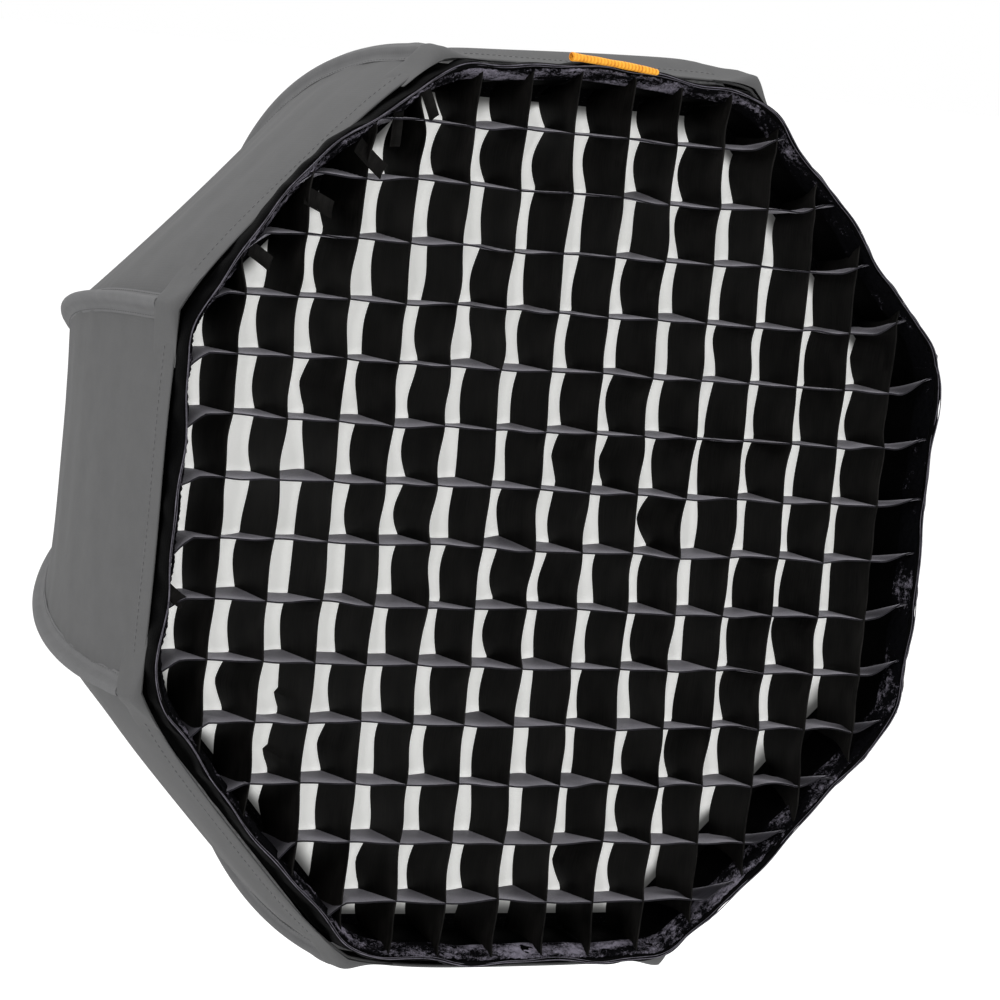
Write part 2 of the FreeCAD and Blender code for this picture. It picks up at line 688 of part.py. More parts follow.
for number_of, (rib_angle, side_angle) in enumerate(zip(rib_angles, side_angles), start=1):
    make_rod(number_of, about_axis(rib_angle))
    make_sleeve(number_of, about_axis(rib_angle))
    make_tip(number_of, about_axis(rib_angle))
    make_knuckle(number_of, about_axis(rib_angle))
    make_panel(number_of, about_axis(side_angle))
make_collar()
make_hub()
make_pins()
make_mount()
make_screws()
make_lock()
make_diffuser()
make_grid()
make_tab()
doc.recompute()

broken = [o.Label for o in doc.Objects if {"Invalid", "Error"} & set(o.State)]
if broken:
    raise RuntimeError(f"objects that failed: {broken}")
for node in nodes:
    if node.Shape.isNull() or not node.Shape.isValid() or node.Shape.Volume <= 0:
        raise RuntimeError(f"{node.Label} has no valid shape")

os.makedirs("parts", exist_ok=True)
for node in nodes:
    node.Shape.exportStep(f"parts/{node.Label}.step")
print(len(nodes), "sub-parts written")
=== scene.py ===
"""Octabox: the looks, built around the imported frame.

Metres, +Z up, the open front faces -Y, the origin is the mount ring's bore. "Depth" is the
distance behind the front plane. A side is one of the octagon's eight flats, at 45 degrees times
its number; a rib lies in each corner between two sides.
"""
import math

import bpy
import numpy as np
from mathutils import Matrix, Vector


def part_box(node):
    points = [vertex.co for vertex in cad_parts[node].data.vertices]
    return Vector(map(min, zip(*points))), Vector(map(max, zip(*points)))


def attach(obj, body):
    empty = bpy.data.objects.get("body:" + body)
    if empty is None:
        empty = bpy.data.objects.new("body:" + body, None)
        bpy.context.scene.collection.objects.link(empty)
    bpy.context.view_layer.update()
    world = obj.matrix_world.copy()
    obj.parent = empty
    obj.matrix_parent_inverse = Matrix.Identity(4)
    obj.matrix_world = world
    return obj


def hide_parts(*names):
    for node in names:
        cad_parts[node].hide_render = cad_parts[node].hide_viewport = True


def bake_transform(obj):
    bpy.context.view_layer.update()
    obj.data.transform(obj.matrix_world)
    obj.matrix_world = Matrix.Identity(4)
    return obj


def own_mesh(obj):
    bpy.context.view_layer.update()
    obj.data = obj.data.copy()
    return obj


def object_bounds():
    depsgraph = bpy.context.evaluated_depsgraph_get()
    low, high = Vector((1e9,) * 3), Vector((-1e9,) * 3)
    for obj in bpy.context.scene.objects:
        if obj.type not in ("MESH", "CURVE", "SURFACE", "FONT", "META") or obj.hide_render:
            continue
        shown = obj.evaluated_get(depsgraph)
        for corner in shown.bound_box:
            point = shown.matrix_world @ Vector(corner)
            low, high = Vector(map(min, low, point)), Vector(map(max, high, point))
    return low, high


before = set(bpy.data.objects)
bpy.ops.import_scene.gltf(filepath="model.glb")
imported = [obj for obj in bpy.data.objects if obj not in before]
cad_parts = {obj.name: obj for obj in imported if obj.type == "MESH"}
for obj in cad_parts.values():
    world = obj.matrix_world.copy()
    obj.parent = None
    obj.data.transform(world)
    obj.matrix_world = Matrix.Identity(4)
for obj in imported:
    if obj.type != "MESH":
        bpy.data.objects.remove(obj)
cad_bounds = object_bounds()

# ---------------------------------------------------------------- sizes, in metres

SIDES = 8
NUMBERS = range(1, SIDES + 1)
FLAT_SIDES = (0.0,) * SIDES
CORNER = math.pi / SIDES
BAND_SETBACK = 0.002
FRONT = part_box("grid_band")[0].y - BAND_SETBACK
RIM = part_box("shell_panel_1")[0].y - FRONT
SHELL_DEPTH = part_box("shell_panel_1")[1].y - FRONT
# the rods' arc: its radius, and how far its centre lies beyond the axis and behind the front
SHELL_BEND = 0.5132
BEND_OFFSET = 0.1879
BEND_SETBACK = 0.0312
SHELL_CLOTH = 0.001
GRID_CELLS = 15
GRID_PITCH = 0.040
LINES = GRID_CELLS - 1
APOTHEM = GRID_CELLS * GRID_PITCH / 2
STRIP_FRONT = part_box("grid_vertical_strips")[0].y - FRONT
STRIP_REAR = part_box("grid_vertical_strips")[1].y - FRONT
BAND_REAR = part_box("grid_band")[1].y - FRONT
DIFFUSER_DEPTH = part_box("diffuser_border")[0].y - FRONT
BORDER_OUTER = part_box("diffuser_border")[1].x
BORDER_INNER = BORDER_OUTER - 0.0195
# how round the grid's band is at each rib's corner, ribs 1 to 8
CORNER_ROUNDING = (0.046, 0.084, 0.060, 0.056, 0.060, 0.060, 0.034, 0.046)

# how far the cloth bellies out at the middle of each side, sides 1 to 8, and which way it leans
RIM_BELLY = (0.002, 0.013, 0.011, 0.000, 0.011, 0.009, 0.004, 0.001)
RIM_LEAN = (0.0, -0.35, 0.0, 0.0, 0.0, 0.0, 0.0, 0.0)
# how much of that belly the rim itself has, and how square its shape is from corner to corner
RIM_SHARE = (0.5, 0.30, 0.85, 1.0, 0.85, 0.75, 0.5, 0.5)
RIM_POWER = (4, 10, 4, 4, 4, 4, 4, 4)
# how far behind the rim the belly is fullest, and where it ends
BELLY_PEAK = 0.034
BELLY_END = 0.21
# the same belly for the grid's band, sides 1 to 8
EDGE_BELLY = (0.002, 0.007, 0.017, -0.003, 0.005, 0.003, 0.004, 0.001)
# painted light on the loop tape, sides 1 to 8: how much lighter each side is drawn, standing in
# for the light falling on it
NAP_PAINTED_LIGHT = (0.02, 1.0, 0.80, 0.25, 0.25, 1.0, 0.75, 0.06)
STRIP_CLOTH = 0.0011
STRIP_OFFSETS = [(k - (LINES - 1) / 2) * GRID_PITCH for k in range(LINES)]


def side_axes(angle):
    """The outward direction and the direction along the edge, for a side or corner at an angle."""
    outward = np.array([math.cos(angle), 0.0, math.sin(angle)])
    along = np.array([-math.sin(angle), 0.0, math.cos(angle)])
    return outward, along


def side_angle(side):
    return side * 2 * CORNER


def edge_axes(side):
    """side_axes of one of the eight sides."""
    return side_axes(side_angle(side))


def rib_angle(rib):
    return (2 * rib - 1) * CORNER


def shell_radius(depth):
    """The axis to the shell's corner line, which is an arc in each rib's plane."""
    return np.sqrt(SHELL_BEND ** 2 - (depth - BEND_SETBACK) ** 2) - BEND_OFFSET


def shell_apothem(depth):
    return shell_radius(depth) * math.cos(CORNER)


# ---------------------------------------------------------------- geometry helpers

def ripples(seed, count, shortest, longest):
    """A smooth random surface between about -1 and 1, as a sum of waves."""
    rng = np.random.default_rng(seed)
    turns = rng.uniform(0, 2 * math.pi, count)
    lengths = rng.uniform(shortest, longest, count)
    phases = rng.uniform(0, 2 * math.pi, count)

    def surface(a, b):
        total = 0
        for turn, length, phase in zip(turns, lengths, phases):
            reach = (a * math.cos(turn) + b * math.sin(turn)) / length
            total = total + np.sin(2 * math.pi * reach + phase)
        return total / math.sqrt(count)
    return surface


def smooth(low, high, x):
    t = np.clip((x - low) / (high - low), 0, 1)
    return t * t * (3 - 2 * t)


def new_piece(name, points, faces, uvs, slots, mats, body, sharp=35):
    """A mesh object that rides on a body, or on none.

    uvs are metres along the cloth, one pair per vertex.
    """
    mesh = bpy.data.meshes.new(name)
    mesh.from_pydata(np.asarray(points).tolist(), [], faces)
    layer = mesh.uv_layers.new(name="cloth")
    corners = np.zeros(len(mesh.loops), int)
    mesh.loops.foreach_get("vertex_index", corners)
    layer.data.foreach_set("uv", np.asarray(uvs, float)[corners].ravel())
    mesh.polygons.foreach_set("material_index", slots)
    mesh.polygons.foreach_set("use_smooth", [True] * len(mesh.polygons))
    for mat in mats:
        mesh.materials.append(mat)
    mesh.update()
    mesh.set_sharp_from_angle(angle=math.radians(sharp))
    piece = bpy.data.objects.new(name, mesh)
    bpy.context.scene.collection.objects.link(piece)
    if body:
        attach(piece, body)
    return piece


def grid_normals(points, closed):
    """Unit normals of a grid of points, from its neighbours in both directions."""
    down = np.gradient(points, axis=0)
    if closed:
        wide = np.concatenate([points[:, -1:], points, points[:, :1]], axis=1)
        across = (wide[:, 2:] - wide[:, :-2]) / 2
    else:
        across = np.gradient(points, axis=1)
    normal = np.cross(down, across)
    return normal / np.maximum(np.linalg.norm(normal, axis=2, keepdims=True), 1e-12)


def skin(name, points, thickness, mats, body, closed=False, uv=None, sharp=35):
    """A closed sheet of cloth: a grid of points on its upper face and another a thickness below.

    Rows run along the first index. The upper face takes the first material and the lower face the
    last. closed joins the last column to the first, as round the octagon.
    """
    below = points - grid_normals(points, closed) * thickness
    if uv is None:
        steps_down = np.linalg.norm(np.diff(points, axis=0), axis=2).mean(axis=1)
        steps_across = np.linalg.norm(np.diff(points, axis=1), axis=2).mean(axis=0)
        v = np.concatenate([[0], np.cumsum(steps_down)])
        u = np.concatenate([[0], np.cumsum(steps_across)])
        uv = np.stack(np.broadcast_arrays(u[None, :], v[:, None]), axis=2)
    index = np.arange(2 * points[..., 0].size).reshape(2, *points.shape[:2])
    if closed:
        index = np.concatenate([index, index[:, :, :1]], axis=2)
    top, low = index

    def pairs(first, second):
        """Two equal rows of four-cornered faces, one of each in turn."""
        return [face for pair in zip(first, second) for face in pair]

    def quads(*corners):
        return np.stack(corners, axis=-1).reshape(-1, 4).tolist()

    faces = pairs(quads(top[:-1, :-1], top[1:, :-1], top[1:, 1:], top[:-1, 1:]),
                  quads(low[:-1, :-1], low[:-1, 1:], low[1:, 1:], low[1:, :-1]))
    slots = [0, len(mats) - 1] * (len(faces) // 2)
    faces += pairs(quads(top[0, :-1], top[0, 1:], low[0, 1:], low[0, :-1]),
                   quads(top[-1, :-1], low[-1, :-1], low[-1, 1:], top[-1, 1:]))
    if not closed:
        faces += pairs(quads(top[:-1, 0], low[:-1, 0], low[1:, 0], top[1:, 0]),
                       quads(top[:-1, -1], top[1:, -1], low[1:, -1], low[:-1, -1]))
    slots += [0] * (len(faces) - len(slots))
    flat = np.concatenate([points.reshape(-1, 3), below.reshape(-1, 3)])
    uvs = np.concatenate([uv.reshape(-1, 2)] * 2)
    return new_piece(name, flat, faces, uvs, slots, mats, body, sharp)


def octagon_ring(apothem, per_side, bellies=FLAT_SIDES, rounding=0.0):
    """Points round an octagon at y = 0, with the outward direction at each.

    The corners are rounded to a radius, and the middle of each side bellies out by its own amount.
    """
    half = apothem * math.tan(CORNER)
    places = 2 * np.arange(per_side) / per_side - 1
    reach = np.abs(places) * half
    bends = np.broadcast_to(rounding, SIDES)
    points, outwards = [], []
    for side, belly in enumerate(bellies, start=1):
        outward, along = edge_axes(side)
        bend = np.where(places < 0, bends[side - 1], bends[side % SIDES])
        tangent = bend * math.tan(CORNER)
        turn = np.clip((reach - (half - tangent)) / np.maximum(tangent, 1e-9), 0, 1) * CORNER
        straight = np.minimum(reach, half - tangent)
        radial = apothem - bend * (1 - np.cos(turn)) + belly * (1 - places ** 2) ** 2
        sideways = np.sign(places) * (straight + bend * np.sin(turn))
        lean = np.sign(places) * turn
        points.append(outward * radial[:, None] + along * sideways[:, None])
        outwards.append(outward * np.cos(lean)[:, None] + along * np.sin(lean)[:, None])
    return np.concatenate(points), np.concatenate(outwards)


def ring_walk(per_side):
    """The length walked round the octagon's edge at each of its points."""
    side_length = 2 * APOTHEM * math.tan(CORNER)
    return np.arange(SIDES * per_side) / per_side * side_length


def edge_hold(depth):
    """How much of the front edge's belly is left at a depth in the grid's band."""
    return 1 - 0.6 * smooth(0.0, BAND_REAR, depth)


def octagon_band(name, profile, thickness, mats, body, wobble, per_side=48,
                 bellies=FLAT_SIDES, rounding=0.0):
    """A strip of cloth all the way round: profile is a list of (apothem, depth) down its rows.

    wobble takes the walk's length and the row number, and gives outward and rearward shifts.
    """
    walk = ring_walk(per_side)
    rows = []
    for row, (apothem, depth) in enumerate(profile):
        left = float(edge_hold(depth))
        ring, outward = octagon_ring(apothem, per_side, [b * left for b in bellies], rounding)
        shift_out, shift_back = wobble(walk, row)
        ring = ring + outward * np.asarray(shift_out)[:, None]
        ring[:, 1] = FRONT + depth + shift_back
        rows.append(ring)
    points = np.array(rows)
    drops = [math.dist(a, b) for a, b in zip(profile, profile[1:])]
    v = np.concatenate([[0], np.cumsum(drops)])
    uv = np.stack(np.broadcast_arrays(walk[None, :], v[:, None]), axis=2)
    return skin(name, points, thickness, mats, body, closed=True, uv=uv)


def tube_ring(name, centre_line, radius, mats, body):
    """A closed cord of a given radius along a loop of points."""
    sides = 8
    ahead = np.roll(centre_line, -1, axis=0) - np.roll(centre_line, 1, axis=0)
    ahead /= np.linalg.norm(ahead, axis=1, keepdims=True)
    back = np.tile([0.0, 1.0, 0.0], (len(centre_line), 1))
    sideways = np.cross(ahead, back)
    sideways /= np.linalg.norm(sideways, axis=1, keepdims=True)
    up = np.cross(sideways, ahead)
    points, faces = [], []
    for k in range(sides):
        turn = 2 * math.pi * k / sides
        points.append(centre_line + radius * (math.cos(turn) * sideways + math.sin(turn) * up))
    count = len(centre_line)
    for k in range(sides):
        for n in range(count):
            m, j = (n + 1) % count, (k + 1) % sides
            faces.append((k * count + n, k * count + m, j * count + m, j * count + n))
    walk = np.arange(count) * np.linalg.norm(centre_line[1] - centre_line[0])
    uvs = np.concatenate([np.stack([walk, np.full(count, k * radius)], axis=1)
                          for k in range(sides)])
    return new_piece(name, np.concatenate(points), faces, uvs, [0] * len(faces), mats, body)


def stitches(name, places, directions, normals, body, length=0.0024, thread="thread"):
    """Sewn thread: one small rounded bar per stitch, lying on the cloth."""
    rings, around, radius = 4, 6, 0.0003
    shape, faces = [], []
    for r in range(rings):
        t = r / (rings - 1)
        swell = math.sqrt(max(0.12, 1 - (2 * t - 1) ** 2))
        for a in range(around):
            turn = 2 * math.pi * a / around
            shape.append(((t - 0.5) * length, radius * swell * math.cos(turn),
                          radius * swell * math.sin(turn)))
    for r in range(rings - 1):
        for a in range(around):
            low, high, b = r * around, (r + 1) * around, (a + 1) % around
            faces.append((low + a, low + b, high + b, high + a))
    faces.append(tuple(reversed(range(around))))
    faces.append(tuple(range((rings - 1) * around, rings * around)))
    shape = np.array(shape)
    points, all_faces = [], []
    for n, (place, direction, normal) in enumerate(zip(places, directions, normals)):
        sideways = np.cross(normal, direction)
        points.append(place + shape @ np.array([direction, sideways, normal]))
        all_faces += [tuple(i + n * len(shape) for i in f) for f in faces]
    points = np.concatenate(points)
    return new_piece(name, points, all_faces, points[:, [0, 2]], [0] * len(all_faces),
                     [MATERIALS[thread]], body)


# ---------------------------------------------------------------- materials

class Nodes:
    """A short way to wire shader nodes."""

    def __init__(self, name):
        self.mat = bpy.data.materials.new(name)
        self.mat.use_nodes = True
        self.tree = self.mat.node_tree
        self.bsdf = self.tree.nodes["Principled BSDF"]
        self.coords = self.tree.nodes.new("ShaderNodeTexCoord")

    def add(self, kind, **inputs):
        node = self.tree.nodes.new("ShaderNode" + kind)
        for key, value in inputs.items():
            self.feed(node, key.replace("_", " "), value)
        return node

    def surface(self, **inputs):
        """Sets inputs of the material's own Principled shader."""
        for key, value in inputs.items():
            self.feed(self.bsdf, key.replace("_", " "), value)

    def feed(self, node, socket, value):
        if isinstance(value, bpy.types.NodeSocket):
            self.tree.links.new(value, node.inputs[socket])
        else:
            node.inputs[socket].default_value = value

    def scaled(self, coordinate, scale):
        mapping = self.add("Mapping", Vector=self.coords.outputs[coordinate])
        mapping.inputs["Scale"].default_value = scale
        return mapping.outputs["Vector"]

    def noise(self, coordinate, scale, detail=3.0, roughness=0.6):
        vector = self.scaled(coordinate, scale)
        return self.add("TexNoise", Vector=vector, Scale=1.0, Detail=detail,
                        Roughness=roughness).outputs["Fac"]

    def waves(self, coordinate, scale, direction, distortion=0.0):
        vector = self.scaled(coordinate, (1, 1, 1))
        wave = self.add("TexWave", Vector=vector, Scale=scale, Distortion=distortion)
        wave.wave_type = "BANDS"
        wave.bands_direction = direction
        return wave.outputs["Fac"]

    def math(self, operation, a, b):
        node = self.tree.nodes.new("ShaderNodeMath")
        node.operation = operation
        self.feed(node, 0, a)
        self.feed(node, 1, b)
        return node.outputs[0]

    def blend(self, a, b, share):
        """A share of one value and the rest of another."""
        return self.math("ADD", self.math("MULTIPLY", a, share),
                         self.math("MULTIPLY", b, 1 - share))

    def attribute(self, name):
        node = self.add("Attribute")
        node.attribute_name = name
        return node.outputs["Fac"]

    def ramp(self, factor, stops):
        node = self.add("ValToRGB", Fac=factor)
        ramp = node.color_ramp
        while len(ramp.elements) < len(stops):
            ramp.elements.new(0.5)
        for element, (place, colour) in zip(ramp.elements, stops):
            element.position = place
            element.color = (*colour, 1)
        return node.outputs["Color"]

    def bump(self, height, strength, distance):
        node = self.add("Bump", Height=height, Strength=strength, Distance=distance)
        if self.bsdf.inputs["Normal"].links:
            previous = self.bsdf.inputs["Normal"].links[0].from_socket
            self.tree.links.new(previous, node.inputs["Normal"])
        self.feed(self.bsdf, "Normal", node.outputs["Normal"])


def tint(colour, factor):
    return tuple(c * factor for c in colour)


def woven(name, colour, pitch, rough=0.9, shine=0.25, contrast=0.25, weave=0.4, mottle=0.018):
    """Plain woven cloth: crossing threads, mottled colour and soft unevenness."""
    n = Nodes(name)
    turns = 1 / (pitch * 2 * math.pi)
    threads = n.math("MAXIMUM", n.waves("UV", turns, "X", 0.4), n.waves("UV", turns, "Y", 0.4))
    blotch = n.noise("UV", (1 / mottle,) * 3, 4.0)
    fuzz = n.noise("UV", (1400, 1400, 1400), 2.0)
    shade = n.ramp(n.blend(blotch, fuzz, 0.6), [(0.3, tint(colour, 1 - contrast)),
                                                (0.7, tint(colour, 1 + contrast))])
    n.surface(Base_Color=shade, Roughness=rough, Specular_IOR_Level=shine)
    n.bump(threads, weave, 0.0002)
    n.bump(blotch, 0.3, 0.0006)
    return n.mat


def brushed_black(name, dark, light, sheen=0.0, rough=0.45):
    """The grid's coated nylon: near black, with fine uneven streaks along the strip. With sheen
    and lighter colours it makes a lit copy of the same cloth: painted sheen.
    """
    n = Nodes(name)
    streak = n.noise("UV", (38, 1300, 1), 6.0, 0.8)
    blotch = n.noise("UV", (24, 45, 1), 3.0)
    shade = n.ramp(n.blend(streak, blotch, 0.65), [(0.40, dark), (0.62, light)])
    n.surface(Base_Color=shade, Roughness=rough, Specular_IOR_Level=0.03, Sheen_Weight=sheen,
              Sheen_Roughness=0.35, Sheen_Tint=(0.93, 0.90, 1, 1))
    n.bump(streak, 0.35, 0.0003)
    return n.mat


def fuzzy(name, low, high, size=0.0009):
    """Hook and loop tape: a tangle of fibres in random tone. Its high colour is a painted
    highlight, and sides given less painted light are drawn darker, as painted shade.
    """
    n = Nodes(name)
    tangle = n.noise("UV", (1 / size,) * 3, 6.0, 0.8)
    patch = n.noise("UV", (330, 430, 1), 5.0, 0.75)
    matted = n.noise("UV", (26, 70, 1), 4.0, 0.65)
    mix = n.blend(tangle, patch, 0.45)
    mix = n.math("ADD", mix, n.math("MULTIPLY", n.math("SUBTRACT", matted, 0.5), 1.1))
    # painted shade: sides with less painted light are drawn darker
    painted_side_darkening = n.math("SUBTRACT", 0.20, n.math("MULTIPLY", n.attribute("nap"), 0.20))
    shade = n.ramp(n.math("SUBTRACT", mix, painted_side_darkening),
                   [(0.44, low), (0.53, tint(high, 0.5)), (0.66, high)])
    n.surface(Base_Color=shade, Roughness=0.95, Specular_IOR_Level=0.03)
    n.bump(tangle, 0.8, 0.0008)
    n.bump(patch, 0.8, 0.0015)
    return n.mat


def silver_lining(name):
    """The shell's lining: crinkled aluminised cloth."""
    n = Nodes(name)
    crinkle = n.noise("UV", (160, 160, 160), 5.0)
    cells = n.add("TexVoronoi", Vector=n.scaled("UV", (420, 420, 420)), Scale=1.0)
    shade = n.ramp(crinkle, [(0.3, (0.42, 0.42, 0.43)), (0.7, (0.68, 0.68, 0.69))])
    n.surface(Base_Color=shade, Metallic=0.75, Roughness=0.38)
    n.bump(crinkle, 0.5, 0.0012)
    n.bump(cells.outputs["Distance"], 0.4, 0.0004)
    return n.mat


def white_diffuser(name):
    """Thin white cloth with a painted glow: even emission, though no lamp is behind it. Its colour
    and its painted glow fade darker at its seam, towards the black border.
    """
    n = Nodes(name)
    weave = n.math("MAXIMUM", n.waves("UV", 320, "X", 0.3), n.waves("UV", 320, "Y", 0.3))
    cloud = n.noise("UV", (9, 9, 9), 4.0)
    fold = n.noise("UV", (26, 26, 26), 3.0)
    # painted shade: darker towards the border, fading both the colour and the painted glow
    border_fade = n.attribute("painted_glow_fade")
    tone = n.blend(cloud, fold, 0.6)
    base = n.ramp(tone, [(0.3, (0.70, 0.70, 0.68)), (0.7, (0.84, 0.84, 0.825))])
    shade = n.add("VectorMath", Vector=base)
    shade.operation = "SCALE"
    n.feed(shade, "Scale", border_fade)
    # painted glow: emission in a whiter tint of the cloud and fold tones, so the folds show in it
    # as painted shading
    painted_glow = n.ramp(tone, [(0.3, (0.90, 0.91, 0.88)), (0.7, (1, 1, 0.98))])
    n.surface(Base_Color=shade.outputs["Vector"], Roughness=0.85, Specular_IOR_Level=0.2,
              Emission_Color=painted_glow, Emission_Strength=n.math("MULTIPLY", border_fade, 0.50))
    n.bump(weave, 0.15, 0.0002)
    n.bump(cloud, 0.25, 0.004)
    n.bump(fold, 0.25, 0.0015)
    return n.mat


def satin_metal(name, colour, rough, lines=900.0, wear=0.0):
    """Turned or plated metal: fine tool rings round the box's axis, and smears from handling."""
    n = Nodes(name)
    across = n.add("VectorMath", Vector=n.scaled("Object", (1, 0, 1)))
    across.operation = "LENGTH"
    rings = n.add("TexNoise", Scale=lines, Detail=3.0)
    rings.noise_dimensions = "1D"
    n.feed(rings, "W", across.outputs["Value"])
    mix = n.blend(n.noise("Object", (40, 40, 40), 4.0), rings.outputs["Fac"], 0.6)
    shade = n.ramp(mix, [(0.3, tint(colour, 0.75)), (0.7, tint(colour, 1.2 + wear))])
    n.surface(Base_Color=shade, Metallic=1.0,
              Roughness=n.math("ADD", n.math("MULTIPLY", mix, 0.3), rough - 0.12))
    n.bump(rings.outputs["Fac"], 0.25, 0.0002)
    return n.mat


def moulded(name, colour, rough=0.55):
    """Moulded nylon with a fine spark-eroded grain and faint handling marks."""
    n = Nodes(name)
    grain = n.noise("Object", (1500, 1500, 1500), 3.0)
    smear = n.noise("Object", (60, 60, 60), 4.0)
    n.surface(Base_Color=n.ramp(smear, [(0.3, tint(colour, 0.8)), (0.75, tint(colour, 1.3))]),
              Roughness=n.math("ADD", n.math("MULTIPLY", smear, 0.2), rough - 0.1))
    n.bump(grain, 0.3, 0.0002)
    return n.mat


def ribbed_orange(name):
    """Bright ribbon with painted shade: darker and redder in the hollows between its ribs, lighter
    on their crests.
    """
    n = Nodes(name)
    ribs = n.waves("UV", 1 / TAB_RIB / 2 / math.pi, "X", 0.3)
    blotch = n.noise("UV", (140, 140, 140), 4.0)
    # painted shade in the rib hollows and painted highlight on the crests, from the rib waves
    shade = n.ramp(n.blend(ribs, blotch, 0.25), [(0.2, (0.42, 0.11, 0.005)),
                                                 (0.5, (0.78, 0.33, 0.018)),
                                                 (0.85, (0.86, 0.47, 0.06))])
    n.surface(Base_Color=shade, Roughness=0.6, Specular_IOR_Level=0.3)
    n.bump(ribs, 0.4, 0.0003)
    return n.mat


TAB_RIB = 0.0014
MATERIALS = {
    "shell": woven("shell_cloth", (0.088, 0.088, 0.089), 0.0011, contrast=0.08, weave=0.25),
    "collar": woven("collar_cloth", (0.076, 0.076, 0.078), 0.0011, contrast=0.1, weave=0.3),
    "sleeve": woven("sleeve_tape", (0.118, 0.118, 0.120), 0.0016, contrast=0.12, weave=0.5),
    "binding": woven("black_binding", (0.003, 0.003, 0.0033), 0.0013, contrast=0.4, weave=0.5,
                     shine=0.03),
    # painted highlight: the black band's folded front edge, drawn lavender grey where light
    # catches it
    "piping": woven("piping_fold_painted_highlight", (0.085, 0.080, 0.095), 0.0009, contrast=0.95, weave=0.3,
                    shine=0.06, mottle=0.009),
    "band": woven("grid_band_cloth", (0.0010, 0.0010, 0.0011), 0.0012, contrast=0.5, weave=0.5,
                  rough=0.6, shine=0.02),
    # painted highlight: the loop tape's lavender-grey high colour
    "loop": fuzzy("loop_tape", (0.0015, 0.0015, 0.002), (0.21, 0.195, 0.24)),
    "hook": fuzzy("hook_tape", (0.003, 0.003, 0.003), (0.022, 0.022, 0.024), 0.0016),
    "strip": brushed_black("grid_cloth", (0.0004, 0.0004, 0.0004), (0.0105, 0.0098, 0.0092)),
    # painted light: a lighter copy of the same grid cloth with sheen, for the level strips whose
    # top faces catch the light
    "level_strip_painted_sheen": brushed_black("grid_cloth_level_painted_sheen", (0.0012, 0.0011, 0.0014),
                                 (0.020, 0.019, 0.024), sheen=0.60, rough=0.5),
    "silver": silver_lining("silver_lining"),
    "diffuser": white_diffuser("diffuser_cloth"),
    "orange": ribbed_orange("orange_ribbon"),
    "thread": woven("sewing_thread", (0.098, 0.098, 0.100), 0.0005, contrast=0.15),
    "dark_thread": woven("black_thread", (0.012, 0.012, 0.013), 0.0005, contrast=0.3, shine=0.1),
    "hub": satin_metal("black_anodised", (0.028, 0.028, 0.03), 0.38, wear=0.5),
    "mount": satin_metal("turned_aluminium", (0.30, 0.30, 0.31), 0.36),
    "steel": satin_metal("plated_steel", (0.36, 0.36, 0.35), 0.3, lines=2000.0),
    "nylon": moulded("black_nylon", (0.018, 0.018, 0.02)),
    "rod": moulded("glass_fibre", (0.03, 0.03, 0.028), 0.35),
}


def finish_cad(nodes, key):
    """Gives carried-over CAD nodes one of the materials above."""
    for name in nodes:
        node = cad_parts[name]
        node.data.materials.clear()
        node.data.materials.append(MATERIALS[key])


def all_eight(stem):
    return [f"{stem}_{k}" for k in NUMBERS]


# ---------------------------------------------------------------- shell

BAND_EDGES = np.linspace(RIM, SHELL_DEPTH, 7)
ROW_STEP = 0.005


def fold_with_panel(piece):
    """Gives a piece of one side its own copy of its mesh."""
    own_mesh(piece)


def rim_belly(side, place, depth):
    """How far a panel's cloth stands out near the rim: less at the rim than just behind it."""
    behind = depth - RIM
    held = RIM_SHARE[side - 1] + (1 - RIM_SHARE[side - 1]) * smooth(0, BELLY_PEAK, behind)
    most = RIM_BELLY[side - 1] * (1 + RIM_LEAN[side - 1] * place)
    fullness = 1 - place ** RIM_POWER[side - 1]
    return most * fullness * held * (1 - smooth(BELLY_PEAK, BELLY_END, behind))


def panel_surface(side, depths, places):
    """Points of a panel's outer face: taut between its ribs, with soft folds across it."""
    outward, along = edge_axes(side)
    broad = ripples(100 + side, 5, 0.16, 0.40)
    folds = ripples(200 + side, 4, 0.035, 0.09)
    pucker = ripples(300 + side, 4, 0.012, 0.022)
    depth = depths[:, None] + 0 * places[None, :]
    place = places[None, :] + 0 * depths[:, None]
    apothem = shell_apothem(depth)
    width = apothem * math.tan(CORNER) * place
    loose = 1 - place ** 4
    free = smooth(0.01, 0.09, depth - RIM)
    lift = loose * (0.0016 * free * broad(width, depth) + 0.0006 * folds(width * 0.25, depth))
    lift += 0.0009 * place ** 8 * loose * free * pucker(width * 0.2, depth)
    lift -= 0.0025 * (1 - place ** 2) * free * np.sin(math.pi * np.clip(depth / SHELL_DEPTH, 0, 1))
    lift += rim_belly(side, place, depth)
    points = (outward * (apothem + lift)[..., None] + along * width[..., None])
    points[..., 1] += FRONT + depth
    return points, width


def make_panels():
    places = np.linspace(-1, 1, 53)
    for side in NUMBERS:
        for band, (start, end) in enumerate(zip(BAND_EDGES, BAND_EDGES[1:]), start=1):
            depths = np.linspace(start, end, int((end - start) / ROW_STEP) + 1)
            points, width = panel_surface(side, depths, places)
            uv = np.stack([width, depths[:, None] + 0 * width], axis=2)
            piece = skin(f"shell_panel_{side}_cloth_{band}", points, SHELL_CLOTH,
                         [MATERIALS["shell"], MATERIALS["silver"]], f"panel_{side}", uv=uv)
            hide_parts(f"shell_panel_{side}")
            fold_with_panel(piece)


# the turned-in rim from its outer edge to its inner one: (height off the panel, depth behind)
HEM_PROFILE = [(0.0004, 0.0140), (0.0007, 0.0132), (0.0008, 0.0090), (0.0008, 0.0040),
               (0.0007, 0.0010), (0.0002, -0.0006), (-0.0006, -0.0010), (-0.0014, -0.0004),
               (-0.0018, 0.0010), (-0.0018, 0.0060), (-0.0017, 0.0120)]
HEM_SEAM = 0.0115
HEM_STITCHES = 56
HOOK_TAPE = (0.003, 0.030)


